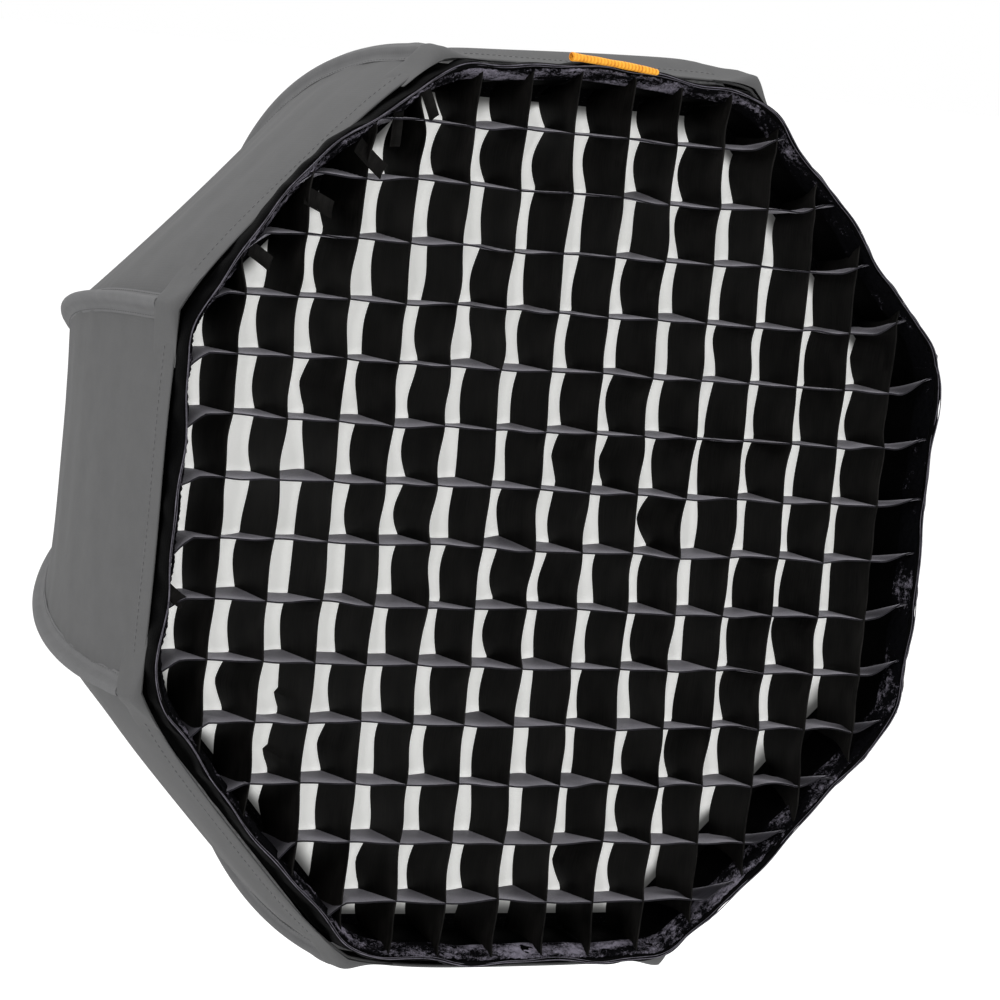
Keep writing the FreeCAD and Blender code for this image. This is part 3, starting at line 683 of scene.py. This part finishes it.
def make_hems():
    """The shell's front rim: its cloth turned over and sewn, with hook tape inside it."""
    places = np.linspace(-1, 1, 61)
    for side in NUMBERS:
        outward, along = edge_axes(side)
        body = f"panel_{side}"
        rows = []
        for lift, behind in HEM_PROFILE:
            row, _ = panel_surface(side, np.array([RIM + max(behind, 0.0)]), places)
            row = row[0] + outward * lift
            row[:, 1] = FRONT + RIM + behind
            rows.append(row)
        hem = skin(f"front_hem_{side}", np.array(rows)[::-1], 0.0005, [MATERIALS["shell"]], body)

        spots, _ = panel_surface(side, np.array([RIM + HEM_SEAM]),
                                 np.linspace(-0.97, 0.97, HEM_STITCHES))
        sewn = stitches(f"front_hem_stitches_{side}", spots[0] + outward * 0.0009,
                        [along] * HEM_STITCHES, [outward] * HEM_STITCHES, body)

        depths = RIM + np.linspace(*HOOK_TAPE, 10)
        rough = ripples(450 + side, 12, 0.002, 0.005)
        points, walk = panel_surface(side, depths, places * 0.985)
        points = points - outward * (0.0021 + 0.0002 * rough(walk, depths[:, None]))[..., None]
        tape = skin(f"hook_tape_{side}", points[::-1], 0.0007, [MATERIALS["hook"]], body)
        for piece in (hem, sewn, tape):
            fold_with_panel(piece)


# cloth over a rod, across the corner and up from it, in millimetres; then mirrored
RIDGE = [(-8.5, -3.35), (-7.0, -2.50), (-5.6, -1.60), (-4.6, -0.6), (-4.0, 1.4), (-3.7, 3.6),
         (-3.1, 5.3), (-2.2, 6.6), (-1.1, 7.25), (0.0, 7.45)]
RIDGE = np.array(RIDGE + [(-a, b) for a, b in RIDGE[-2::-1]]) / 1000
POCKET_HALF = 0.034
POCKET_ACROSS = np.linspace(-POCKET_HALF, POCKET_HALF, 45)
POCKET_CREST = 0.0079 * np.exp(-(POCKET_ACROSS / 0.0145) ** 2)
POCKET_EDGE = 0.0015 * smooth(0.024, POCKET_HALF, np.abs(POCKET_ACROSS))
# how tall and how far forward each rib's pocket is, ribs 1 to 8
POCKET_PUFF = (1.0, 1.25, 1.1, 1.0, 1.0, 1.0, 1.0, 1.0)
POCKET_NOSE = (0.0024, 0.0034, 0.0060, 0.0024, 0.0030, 0.0024, 0.0024, 0.0024)
POCKET_ROWS = [0.003, 0.006, 0.010, 0.014, 0.017, 0.020, 0.023, 0.026, 0.029, 0.032, 0.035]


def ridge_points(rib, depths, outline, lift, swell=lambda depth: 1.0):
    """Cloth over a rod: its outline is (across, height) over the corner, at each depth.

    lift raises it at a depth and swell shrinks it towards the corner's own two flats.
    """
    outward, along = side_axes(rib_angle(rib))
    sway = ripples(500 + rib, 6, 0.02, 0.09)
    rows = []
    for depth in depths:
        slope = math.asin((depth - BEND_SETBACK) / SHELL_BEND)
        up = outward * math.cos(slope) + np.array([0, math.sin(slope), 0])
        base = outward * float(shell_radius(depth)) + np.array([0, FRONT + depth, 0])
        side_way, height = outline.T
        wing = -np.abs(side_way) * math.tan(CORNER) + 0.0004
        height = wing + (height - wing) * swell(depth) + lift(depth)
        inset = np.abs(side_way) / (float(shell_apothem(depth)) * math.tan(CORNER))
        before = (rib - 2) % SIDES + 1
        belly = np.where(side_way < 0, rim_belly(before, 1 - inset, depth),
                         rim_belly(rib, inset - 1, depth))
        height = height + belly / math.cos(CORNER)
        wobble = 0.00025 * sway(side_way * 0.5, depth) * (np.abs(side_way) > 0.004)
        rows.append(base + along * side_way[:, None] + up * (height + wobble)[:, None])
    return np.array(rows)


SLEEVE_FRONT = RIM + 0.0185
STITCH_PITCH = 0.0042


def sleeve_lift(depth):
    """The sleeve's cut end lies over the pocket, so it stands a little higher there."""
    return 0.0010 * (1 - float(smooth(RIM + 0.026, RIM + 0.045, depth)))


def make_sleeve(rib):
    """The tape sewn over a rod along the shell's corner, and its two seams."""
    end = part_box(f"rib_sleeve_{rib}")[1].y - FRONT
    depths = np.linspace(SLEEVE_FRONT, end, 90)
    body = f"rib_{rib}"
    points = ridge_points(rib, depths, RIDGE, sleeve_lift)
    piece = skin(f"rib_sleeve_{rib}_cloth", points, 0.0007, [MATERIALS["sleeve"]], body, sharp=50)
    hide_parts(f"rib_sleeve_{rib}")

    places, directions, normals = [], [], []
    outward, along = side_axes(rib_angle(rib))
    for depth in np.arange(SLEEVE_FRONT + 0.004, end - 0.004, STITCH_PITCH):
        row = ridge_points(rib, [depth, depth + 0.001], RIDGE, sleeve_lift)
        for column in (1, -2):
            ahead = row[1, column] - row[0, column]
            ahead /= np.linalg.norm(ahead)
            lean = -along if column == 1 else along
            normal = outward + lean * math.tan(CORNER)
            normal -= ahead * normal.dot(ahead)
            normal /= np.linalg.norm(normal)
            places.append(row[0, column] + normal * 0.0001)
            directions.append(ahead)
            normals.append(normal)
    sewn = stitches(f"rib_sleeve_{rib}_stitches", places, directions, normals, body)


def make_pocket(rib):
    """The pocket in the shell's rim that holds a rod's front end."""
    nose = POCKET_NOSE[rib - 1]
    wing = 0.0004 - np.abs(POCKET_ACROSS) * math.tan(CORNER)
    height = POCKET_PUFF[rib - 1] * POCKET_CREST - POCKET_EDGE + wing
    outline = np.stack([POCKET_ACROSS, height], axis=1)
    behind = np.append(-nose + (nose + 0.0008) * np.linspace(0, 1, 6) ** 1.6, POCKET_ROWS)

    def sink(depth):
        """Its rear edge goes in under the shell's cloth."""
        return -0.0016 * float(smooth(RIM + 0.024, RIM + 0.035, depth))

    def swell(depth):
        u = min(1.0, max(0.0, (depth - RIM + nose) / (nose + 0.0018)))
        tail = 1 - 0.97 * float(smooth(RIM + 0.016, RIM + 0.035, depth))
        return (0.06 + 0.94 * math.sqrt(1 - (1 - u) ** 2)) * tail

    points = ridge_points(rib, RIM + behind, outline, sink, swell)
    pocket = skin(f"rod_pocket_{rib}", points, 0.0006, [MATERIALS["shell"]], f"rib_{rib}",
                  sharp=60)
    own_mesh(pocket)


# the collar's outside, from its hem at the shell to its gathered end: (apothem, depth)
COLLAR = [(0.1432, 0.4240), (0.1425, 0.4255), (0.1360, 0.4320), (0.1315, 0.4365),
          (0.1270, 0.4410), (0.1225, 0.4455), (0.1180, 0.4500), (0.1128, 0.4550),
          (0.1075, 0.4600), (0.1028, 0.4645), (0.0980, 0.4690), (0.0940, 0.4730),
          (0.0900, 0.4770), (0.0866, 0.4806), (0.0835, 0.4840), (0.0812, 0.4866),
          (0.0778, 0.4890), (0.0742, 0.4915), (0.0731, 0.4935)]
# its rows in bands that ride on the panels; the rest is gathered behind the hinges' row
COLLAR_BANDS = [(0, 4), (4, 7), (7, 10)]
COLLAR_HINGE = 10
COLLAR_PLACES = 45
gather_wave = ripples(600, 5, 0.15, 0.5)


def collar_row(row, side, proud=0.0, places=COLLAR_PLACES):
    """One side's points around the collar at one of its rows: flat at the hem, round behind."""
    apothem, depth = COLLAR[row]
    share = row / (len(COLLAR) - 1)
    centre = side_angle(side)
    angle = centre + np.linspace(-CORNER, CORNER, places)
    flat_sided = apothem / np.cos(angle - centre)
    round_one = apothem * 1.035
    radius = flat_sided + (round_one - flat_sided) * smooth(0.45, 1.0, share)
    depth_of_fold = 0.0012 * smooth(0.35, 0.85, share) * (1 - 0.8 * smooth(0.85, 1.0, share))
    gather = depth_of_fold * np.sin(40 * angle + 3 * gather_wave(angle, 0.2))
    radius = radius + gather + proud
    return np.stack([radius * np.cos(angle), np.full(places, FRONT + depth),
                     radius * np.sin(angle)], axis=1)


def collar_piece(name, points, body, mat="collar", thickness=0.0012):
    piece = skin(name, points, thickness, [MATERIALS[mat]], body)
    return piece


def make_collar_hem(side):
    """Tape over the collar's outer edge, sewn down with two rows of stitches."""
    lip = collar_row(0, side, 0.0004)
    lip[:, 1] -= 0.0004
    points = np.array([lip] + [collar_row(row, side, 0.0009) for row in (1, 2, 3)])
    tape = collar_piece(f"rear_collar_hem_{side}", points, f"panel_{side}", "sleeve", 0.0006)
    fold_with_panel(tape)

    outward, along = edge_axes(side)
    up = outward + np.array([0, 1.0, 0])
    up /= np.linalg.norm(up)
    spots = []
    for row, share in ((1, 0.25), (2, 0.8)):
        near, far = (collar_row(row + step, side, 0.0010, 26) for step in (0, 1))
        spots.extend((near + (far - near) * share)[1:-1])
    sewn = stitches(f"rear_collar_stitches_{side}", spots, [along] * len(spots),
                    [up] * len(spots), f"panel_{side}")
    fold_with_panel(sewn)


def make_collar():
    """The skirt over the rib roots: its bands ride on the panels and it is gathered on to the hub.
    """
    for side in NUMBERS:
        for band, (first, last) in enumerate(COLLAR_BANDS, start=1):
            points = np.array([collar_row(row, side) for row in range(first, last + 1)])
            piece = collar_piece(f"rear_collar_{side}_cloth_{band}", points, f"panel_{side}")
            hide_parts("rear_collar")
            fold_with_panel(piece)
        points = np.array([collar_row(row, side) for row in range(COLLAR_HINGE, len(COLLAR))])
        root = collar_piece(f"rear_collar_{side}_root", points, None)
        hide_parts("rear_collar")
        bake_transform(root)
        make_collar_hem(side)


# ---------------------------------------------------------------- diffuser

def make_diffuser():
    sway = ripples(700, 6, 0.04, 0.14)

    def pucker(walk, row):
        return 0 * walk, 0.0006 * sway(walk, row * 0.004)

    middle = DIFFUSER_DEPTH - 0.0006
    inner, outer = BORDER_INNER, BORDER_OUTER
    profile = [(inner, middle + 0.0012), (inner - 0.0003, middle + 0.0006), (inner, middle),
               (inner + 0.004, middle - 0.0003), (inner + 0.010, middle - 0.0002),
               (outer - 0.003, middle), (outer - 0.0005, middle + 0.0004),
               (outer, middle + 0.0014)]
    border = octagon_band("diffuser_border_tape", profile, 0.0006, [MATERIALS["binding"]],
                          "diffuser", pucker)
    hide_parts("diffuser_border")

    per_side = 48
    walk = ring_walk(per_side)
    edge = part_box("diffuser_cloth")[1].x
    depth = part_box("diffuser_cloth")[0].y
    broad = ripples(710, 7, 0.10, 0.35)
    pull = ripples(711, 5, 0.018, 0.05)
    shares = np.concatenate([np.linspace(1.0, 0.90, 22), np.linspace(0.89, 0.012, 56)])
    rows, border_fade = [], []
    for share in shares:
        reach = edge * share
        ring, _ = octagon_ring(reach, per_side)
        tension = 0.0016 * share ** 8 * pull(walk, share * 0.1)
        ring[:, 1] = (depth + 0.0016 + 0.0014 * (1 - share ** 2)
                      + 0.0009 * broad(ring[:, 0], ring[:, 2]) * (1 - share ** 4) + tension)
        rows.append(ring)
        # painted shade: towards the black border the colour and the painted glow fall to a tenth
        fade = smooth(BORDER_INNER - 0.001, BORDER_INNER - 0.013 - 0.004 * pull(walk, 0), reach)
        border_fade.append(0.10 + 0.90 * fade)
    points = np.array(rows)
    piece = skin("diffuser_sheet", points, 0.0004, [MATERIALS["diffuser"]], "diffuser",
                 closed=True, uv=points[..., [0, 2]])
    layer = piece.data.attributes.new("painted_glow_fade", "FLOAT", "POINT")
    layer.data.foreach_set("value", np.concatenate([np.array(border_fade).ravel()] * 2))
    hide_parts("diffuser_cloth")

    spots, directions, normals = [], [], []
    for side in NUMBERS:
        outward, along = edge_axes(side)
        for apothem in (inner + 0.0028, inner + 0.0060):
            half = apothem * math.tan(CORNER)
            for place in np.arange(-half, half, 0.0041):
                spot = outward * apothem + along * place
                spot[1] = FRONT + middle - 0.0010
                spots.append(spot)
                directions.append(along)
                normals.append(np.array([0.0, -1.0, 0.0]))
    sewn = stitches("diffuser_border_stitches", spots, directions, normals, "diffuser", 0.0020,
                    thread="dark_thread")


# ---------------------------------------------------------------- grid

# the edge band's inner and outer faces, from the front edge back: (apothem, depth)
BAND_INNER = [(0.2982, 0.0004), (0.2968, 0.0030), (0.2940, 0.0080), (0.2912, 0.0130),
              (0.2894, 0.0180), (0.2884, 0.0240), (0.2877, 0.0320), (0.2871, 0.0400),
              (0.2866, 0.0466)]
BAND_OUTER = [(0.2990, -0.0003), (0.2998, 0.0002), (0.3003, 0.0020), (0.3005, 0.0060),
              (0.3004, 0.0110), (0.2999, 0.0138), (0.2988, 0.0158), (0.2983, 0.0190),
              (0.2980, 0.0260), (0.2976, 0.0360), (0.2970, 0.0460)]
LOOP_REAR = 0.0140
LOOP_PROUD = 0.0013


def band_inside(depth):
    """The inner face of the grid's edge band, which leans inwards, most of all near the front."""
    apothems, depths = zip(*BAND_INNER)
    return np.interp(depth, depths, apothems)


def make_grid_band():
    """The grid's edge: folded cloth that stands ahead of the shell's rim and goes in behind it."""
    sway = ripples(800, 8, 0.03, 0.11)
    tug = ripples(801, 6, 0.035, 0.06)
    crimp = ripples(802, 8, 0.012, 0.03)
    profile = BAND_INNER[::-1] + BAND_OUTER

    def lean(walk, depth):
        slow = (0.0005 + 0.012 * depth) * sway(walk, depth * 0.4)
        return -0.0004 + slow + 0.012 * depth * tug(walk, 0)

    def fall(walk, row):
        apothem, depth = profile[row]
        depth = max(depth, 0.0)
        if row < len(BAND_INNER):
            return lean(walk, depth), 0.016 * depth * sway(walk, 0.3)
        tucked = float(smooth(0.0125, 0.0150, depth))
        skirt = 0.0016 * sway(walk, 0.02) + 0.0006 * crimp(walk, depth * 0.3)
        return (1 - tucked) * skirt, 0.0009 * crimp(walk, 0.1) * (depth > 0.004)

    band = octagon_band("grid_band_cloth", profile, 0.0007, [MATERIALS["band"]], "grid",
                        fall, 96, EDGE_BELLY, CORNER_ROUNDING)
    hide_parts("grid_band")
    girth = 2 * SIDES * APOTHEM * math.tan(CORNER)

    tuft = ripples(810, 14, 0.0030, 0.008)
    coarse = ripples(811, 8, 0.012, 0.04)
    rows = 19
    depths = np.linspace(LOOP_REAR, 0.0016, rows)
    tape_profile = [(float(band_inside(d)) - LOOP_PROUD, float(d)) for d in depths]

    def nap(walk, row):
        depth = tape_profile[row][1]
        inner = (LOOP_REAR - depth) / LOOP_REAR
        rough = 0.0005 * tuft(walk, row * 0.0010) + 0.0004 * coarse(walk, row * 0.0010)
        ragged = 0.0010 * coarse(walk, 1.0) * (1 - inner)
        return lean(walk, depth) + rough * min(1.0, 6 * inner), ragged

    tape = octagon_band("grid_loop_tape", tape_profile, 0.0010, [MATERIALS["loop"]], "grid",
                        nap, 200, EDGE_BELLY, CORNER_ROUNDING)
    # painted light: how much lighter each side of the tape is drawn, kept on it as its nap
    # attribute
    sides_walked = ring_walk(200) / (girth / SIDES) + 0.5
    painted_side_light = np.interp(sides_walked, np.arange(SIDES + 2), (NAP_PAINTED_LIGHT[-1], *NAP_PAINTED_LIGHT, NAP_PAINTED_LIGHT[0]))
    layer = tape.data.attributes.new("nap", "FLOAT", "POINT")
    layer.data.foreach_set("value", np.tile(painted_side_light, 2 * rows))

    # the band's folded front edges as cords in the lighter piping colour, a painted highlight
    folds = [(0.2990, -0.0007, 0.00035), (0.2979, 0.0000, 0.00025)]
    for number, (apothem, depth, radius) in enumerate(folds, start=1):
        per_side = 120
        ring, outward = octagon_ring(apothem, per_side, EDGE_BELLY, CORNER_ROUNDING)
        wave = ripples(820 + number, 6, 0.02, 0.09)
        walk = ring_walk(per_side)
        ring = ring + outward * (0.0016 * sway(walk, 0.02) + 0.0003 * wave(walk, 0))[:, None]
        ring[:, 1] = FRONT + depth + 0.0003 * wave(walk, 0.5)
        cord = tube_ring(f"grid_piping_fold_{number}", ring, radius, [MATERIALS["piping"]], "grid")
        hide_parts("grid_piping")


rng = np.random.default_rng(42)
node_shift = rng.normal(0.0, 1.0, (LINES + 2, LINES + 2, 2, 2))
bow = rng.normal(0.0, 1.0, (2, LINES, LINES + 1, 2))
kink = rng.random((LINES, LINES + 1))
FRONT_SHIFT = 0.0008
REAR_SHIFT = 0.0013


def cell_place(walk):
    """Which cell a point along a strip is in, and how far across that cell, 0 to 1."""
    spot = walk / GRID_PITCH + GRID_CELLS / 2
    cell = np.clip(np.floor(spot), 0, GRID_CELLS - 1).astype(int)
    return cell, spot - cell


def strip_ends(depth, offset, upright):
    """Where a strip meets the band's inner face at a depth: its low and its high end."""
    bellies = [b * float(edge_hold(depth)) for b in EDGE_BELLY]
    ring, _ = octagon_ring(float(band_inside(depth)) - 0.0004, 96, bellies, CORNER_ROUNDING)
    level, reach = (ring[:, 0], ring[:, 2]) if upright else (ring[:, 2], ring[:, 0])
    ends = []
    for half in (reach < 0, reach > 0):
        order = np.argsort(level[half])
        ends.append(float(np.interp(offset, level[half][order], reach[half][order])))
    return ends


def strip_shape(line, upright, walk, share):
    """How far a strip strays from its plane: it is held at each crossing and bows between them."""
    cell, across = cell_place(walk)
    way = 0 if upright else 1
    shifts = node_shift[line + 1, :, :, 0] if upright else node_shift[:, line + 1, :, 1]
    front, rear = FRONT_SHIFT * shifts[:, 0], REAR_SHIFT * shifts[:, 1]
    ends = front[None, :] * (1 - share[:, :1]) + rear[None, :] * share[:, :1]
    row = np.arange(len(walk))[:, None]
    ease = across * across * (3 - 2 * across)
    held = ends[row, cell] * (1 - ease) + ends[row, np.minimum(cell + 1, LINES + 1)] * ease
    lobes = bow[way, line, cell]
    belly = np.sin(math.pi * np.clip(across, 0, 1))
    curl = np.sin(2 * math.pi * across)
    if upright:
        size = -0.0006 - 0.0019 * share + (0.0008 + 0.0006 * share) * lobes[..., 0]
        size = size - 0.0036 * share * smooth(0.18, 0.26, walk)
        bend = size * belly + 0.0004 * lobes[..., 1] * curl
        offset = STRIP_OFFSETS[line]
        chance = 0.03 + 0.6 * smooth(0.02, -0.2, offset) * smooth(-0.08, -0.22, walk)
        peak = np.clip(1 - np.abs(across - 0.5) / 0.40, 0, 1) ** 0.8
        bend -= 0.0048 * share * peak * (kink[line, cell] < chance)
    else:
        bend = -(0.0003 + 0.0007 * np.abs(lobes[..., 0])) * (0.4 + 0.6 * share) * belly
        bend += 0.0003 * lobes[..., 1] * curl
        arch = smooth(0.02, 0.22, walk) * smooth(0.10, -0.22, STRIP_OFFSETS[line])
        bend += 0.0050 * arch * (1 - share) * (0.6 + 0.4 * np.tanh(lobes[..., 1])) * belly
    return held + bend


def end_shifts(line, upright, share):
    """How far a strip's low and high ends are turned aside where they are sewn to the band."""
    if upright:
        loose = 0.010 * float(smooth(-0.08, -0.2, STRIP_OFFSETS[line]))
        low = (share - 0.3) * 0.006 * math.sin(line * 1.7)
        high = (share - 0.4) * (0.004 + loose) * math.sin(line * 2.3 + 1)
    else:
        low = -(1 - share) ** 1.5 * 0.010 * (1 + 0.3 * math.sin(line * 2.4)) - share * 0.003
        high = (1 - share) ** 2 * 0.010 * (1 + 0.3 * math.sin(line * 1.3 + 2))
    return low, high


def make_strip(line, upright):
    """One strip of the grid, from band to band, with its ends turned against the band."""
    offset = STRIP_OFFSETS[line]
    shares = np.linspace(0, 1, 9)
    depths = STRIP_FRONT + (STRIP_REAR - STRIP_FRONT) * shares
    shifts = np.array([end_shifts(line, upright, share) for share in shares])
    low = np.array([[strip_ends(d, offset + shift[0], upright)[0]]
                    for d, shift in zip(depths, shifts)])
    high = np.array([[strip_ends(d, offset + shift[1], upright)[1]]
                     for d, shift in zip(depths, shifts)])
    count = int((high[0, 0] - low[0, 0]) / 0.0035)
    t = np.linspace(0, 1, count)
    walk = low + (high - low) * t[None, :]
    share = shares[:, None] + 0 * walk
    low_end = np.clip(1 - (walk - low) / 0.015, 0, 1) ** 1.3
    high_end = smooth(0.028, 0.0, high - walk)
    free = 1 - np.maximum(smooth(0.006, 0.0, walk - low), smooth(0.006, 0.0, high - walk))
    stray = strip_shape(line, upright, walk, share) * free
    stray += low_end * shifts[:, :1] + high_end * shifts[:, 1:]
    wave = ripples(900 + line + 50 * upright, 4, 0.03, 0.09)
    back = FRONT + depths[:, None] + 0.0006 * wave(walk, 0)
    across = offset + stray
    points = np.stack([across, back, walk] if upright else [walk, back, across], axis=2)
    uv = np.stack([walk + 0.37 * line, share * (STRIP_REAR - STRIP_FRONT) + 0.1 * line], axis=2)
    kind = "vertical" if upright else "horizontal"
    centred = points + grid_normals(points, False) * STRIP_CLOTH / 2
    # the level strips take the lit copy of the cloth, with painted sheen
    cloth = MATERIALS["strip" if upright else "level_strip_painted_sheen"]
    piece = skin(f"grid_{kind}_strip_{line + 1}", centred, STRIP_CLOTH, [cloth], "grid", uv=uv)
    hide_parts(f"grid_{kind}_strips")


# loose strip ends: (side, place along it, depth, tilt in degrees, length, width)
LOOSE_ENDS = [(3, -0.100, 0.006, -60, 0.026, 0.011), (3, -0.078, 0.008, -88, 0.027, 0.011),
              (3, -0.038, 0.006, -42, 0.026, 0.013), (3, 0.012, 0.006, -20, 0.024, 0.013),
              (3, 0.064, 0.006, -28, 0.020, 0.011), (4, 0.055, 0.006, -40, 0.014, 0.010)]


def make_loose_end(number, side, place, depth, tilt, length, width):
    """The spare end of a strip, which hangs free inside the band."""
    outward, along = edge_axes(side)
    start = outward * (float(band_inside(depth)) + 0.4 * EDGE_BELLY[side - 1]) + along * place
    start[1] = FRONT + depth
    turn = math.radians(tilt)
    ahead = np.array([math.cos(turn), 0.0, math.sin(turn)])
    sideways = np.array([-math.sin(turn) * 0.9, 0.45, math.cos(turn) * 0.9])
    sideways /= np.linalg.norm(sideways)
    lift = np.cross(ahead, sideways)
    u, v = np.linspace(0, 1, 12), np.linspace(-0.5, 0.5, 5)
    curl = 0.0025 * u[:, None] ** 2 * math.cos(number * 2.1) + 0.0012 * (v[None, :] * 2) ** 2
    points = (start + ahead * (u * length)[:, None, None] + sideways * (v * width)[None, :, None]
              + lift * curl[..., None])
    piece = skin(f"grid_loose_end_{number}", points, 0.0009, [MATERIALS["strip"]], "grid")


def make_grid():
    for line in range(LINES):
        make_strip(line, True)
        make_strip(line, False)
    for number, end in enumerate(LOOSE_ENDS, start=1):
        make_loose_end(number, *end)


TAB_TILT = math.radians(-4.0)


def make_tab():
    """The pull tab: a ribbed orange ribbon rolled into a soft tube, open at its ends."""
    low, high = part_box("pull_tab")
    radius = (high.z - low.z) / 2
    length = (high.x - low.x) * 0.98
    middle = (low + high) / 2
    along = np.linspace(0, 1, int(8 * length / TAB_RIB))
    turns = np.linspace(0, 2 * math.pi, 33)[:-1]
    sway = ripples(950, 4, 0.02, 0.05)
    rows = []
    for t in along:
        walk = length * (t - 0.5)
        rib = 0.00009 * math.sin(2 * math.pi * walk / TAB_RIB)
        flat = 1 - 0.2 * float(smooth(0.8, 1.0, t)) + 0.15 * float(smooth(0.12, 0.0, t))
        wide = radius + rib + 0.0002 * sway(walk, 0)
        rise = middle.z + walk * math.sin(TAB_TILT) + 0.0005 * math.cos(math.pi * (t - 0.5))
        rows.append(np.stack([np.full(len(turns), middle.x + walk * math.cos(TAB_TILT)),
                              middle.y + wide * 1.2 * np.cos(turns),
                              rise + wide * flat * np.sin(turns)], axis=1))
    points = np.array(rows)
    uv = np.stack(np.broadcast_arrays((along * length)[:, None], (turns * radius)[None, :]),
                  axis=2)
    piece = skin("pull_tab_ribbon", points[::-1], 0.0009, [MATERIALS["orange"]], "grid",
                 closed=True, uv=uv[::-1], sharp=60)
    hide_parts("pull_tab")


# ---------------------------------------------------------------- stage

def make_stage():
    """A pale floor that runs back for ever, an even white sky and three soft lights."""
    size, height = 60.0, cad_bounds[0][2] - 0.25
    mesh = bpy.data.meshes.new("floor")
    corners = [(x * size, y * size, height) for x, y in ((-1, -1), (1, -1), (1, 1), (-1, 1))]
    mesh.from_pydata(corners, [], [(0, 1, 2, 3)])
    n = Nodes("pale_floor")
    speck = n.noise("Object", (3, 3, 3), 3.0)
    n.surface(Base_Color=n.ramp(speck, [(0.3, (0.92,) * 3), (0.7, (0.95,) * 3)]),
              Roughness=0.9, Emission_Color=(1, 1, 1, 1), Emission_Strength=0.15)
    mesh.materials.append(n.mat)
    floor = bpy.data.objects.new("floor", mesh)
    bpy.context.scene.collection.objects.link(floor)

    world = bpy.data.worlds.new("white_studio")
    bpy.context.scene.world = world
    world.use_nodes = True
    sky = world.node_tree.nodes["Background"]
    sky.inputs["Color"].default_value = (1, 1, 1, 1)
    sky.inputs["Strength"].default_value = 1.0

    lights = [
        ("key", (-1.8, -1.6, 1.6), 1.2, 22.0),
        ("fill", (1.8, -2.4, 0.6), 1.6, 10.0),
        ("top", (0.0, 0.3, 2.2), 1.4, 18.0),
    ]
    for name, place, width, power in lights:
        lamp = bpy.data.lights.new(name, "AREA")
        lamp.shape = "DISK"
        lamp.size = width
        lamp.energy = power
        lit = bpy.data.objects.new(name, lamp)
        lit.location = place
        aim = Vector((0, FRONT / 2, 0)) - Vector(place)
        lit.rotation_euler = aim.to_track_quat("-Z", "Y").to_euler()
        bpy.context.scene.collection.objects.link(lit)


def make_camera():
    """A long lens from the left front, a little above, with the picture turned slightly."""
    azimuth, elevation, roll = (math.radians(a) for a in (-32.257, 5.511, 6.062))
    distance = 3.38974
    target = Vector((-0.052616, FRONT, 0.013217))
    level = math.cos(elevation)
    back = Vector((math.sin(azimuth) * level, -math.cos(azimuth) * level, math.sin(elevation)))
    right = (-back).cross(Vector((0, 0, 1))).normalized()
    up = right.cross(-back)
    turned_right = right * math.cos(roll) + up * math.sin(roll)
    turned_up = -right * math.sin(roll) + up * math.cos(roll)
    lens = bpy.data.cameras.new("camera")
    lens.lens = 183.16
    lens.sensor_width = 36.0
    lens.clip_end = 200.0
    camera = bpy.data.objects.new("camera", lens)
    axes = Matrix((turned_right, turned_up, back)).transposed()
    camera.matrix_world = Matrix.Translation(target + back * distance) @ axes.to_4x4()
    bpy.context.scene.collection.objects.link(camera)
    bpy.context.scene.camera = camera
    bpy.context.scene.view_settings.view_transform = "Standard"


make_panels()
make_hems()
for rib in NUMBERS:
    make_sleeve(rib)
    make_pocket(rib)
make_collar()
make_diffuser()
make_grid_band()
make_grid()
make_tab()
finish_cad(["hub_ring", "retaining_ring"], "hub")
finish_cad(["mount_ring"], "mount")
finish_cad(["hinge_pins", "retaining_screws", "lock_screw"], "steel")
finish_cad(all_eight("rib_knuckle") + all_eight("rib_tip") + ["lock_knob"], "nylon")
finish_cad(all_eight("rib_rod"), "rod")
make_stage()
make_camera()
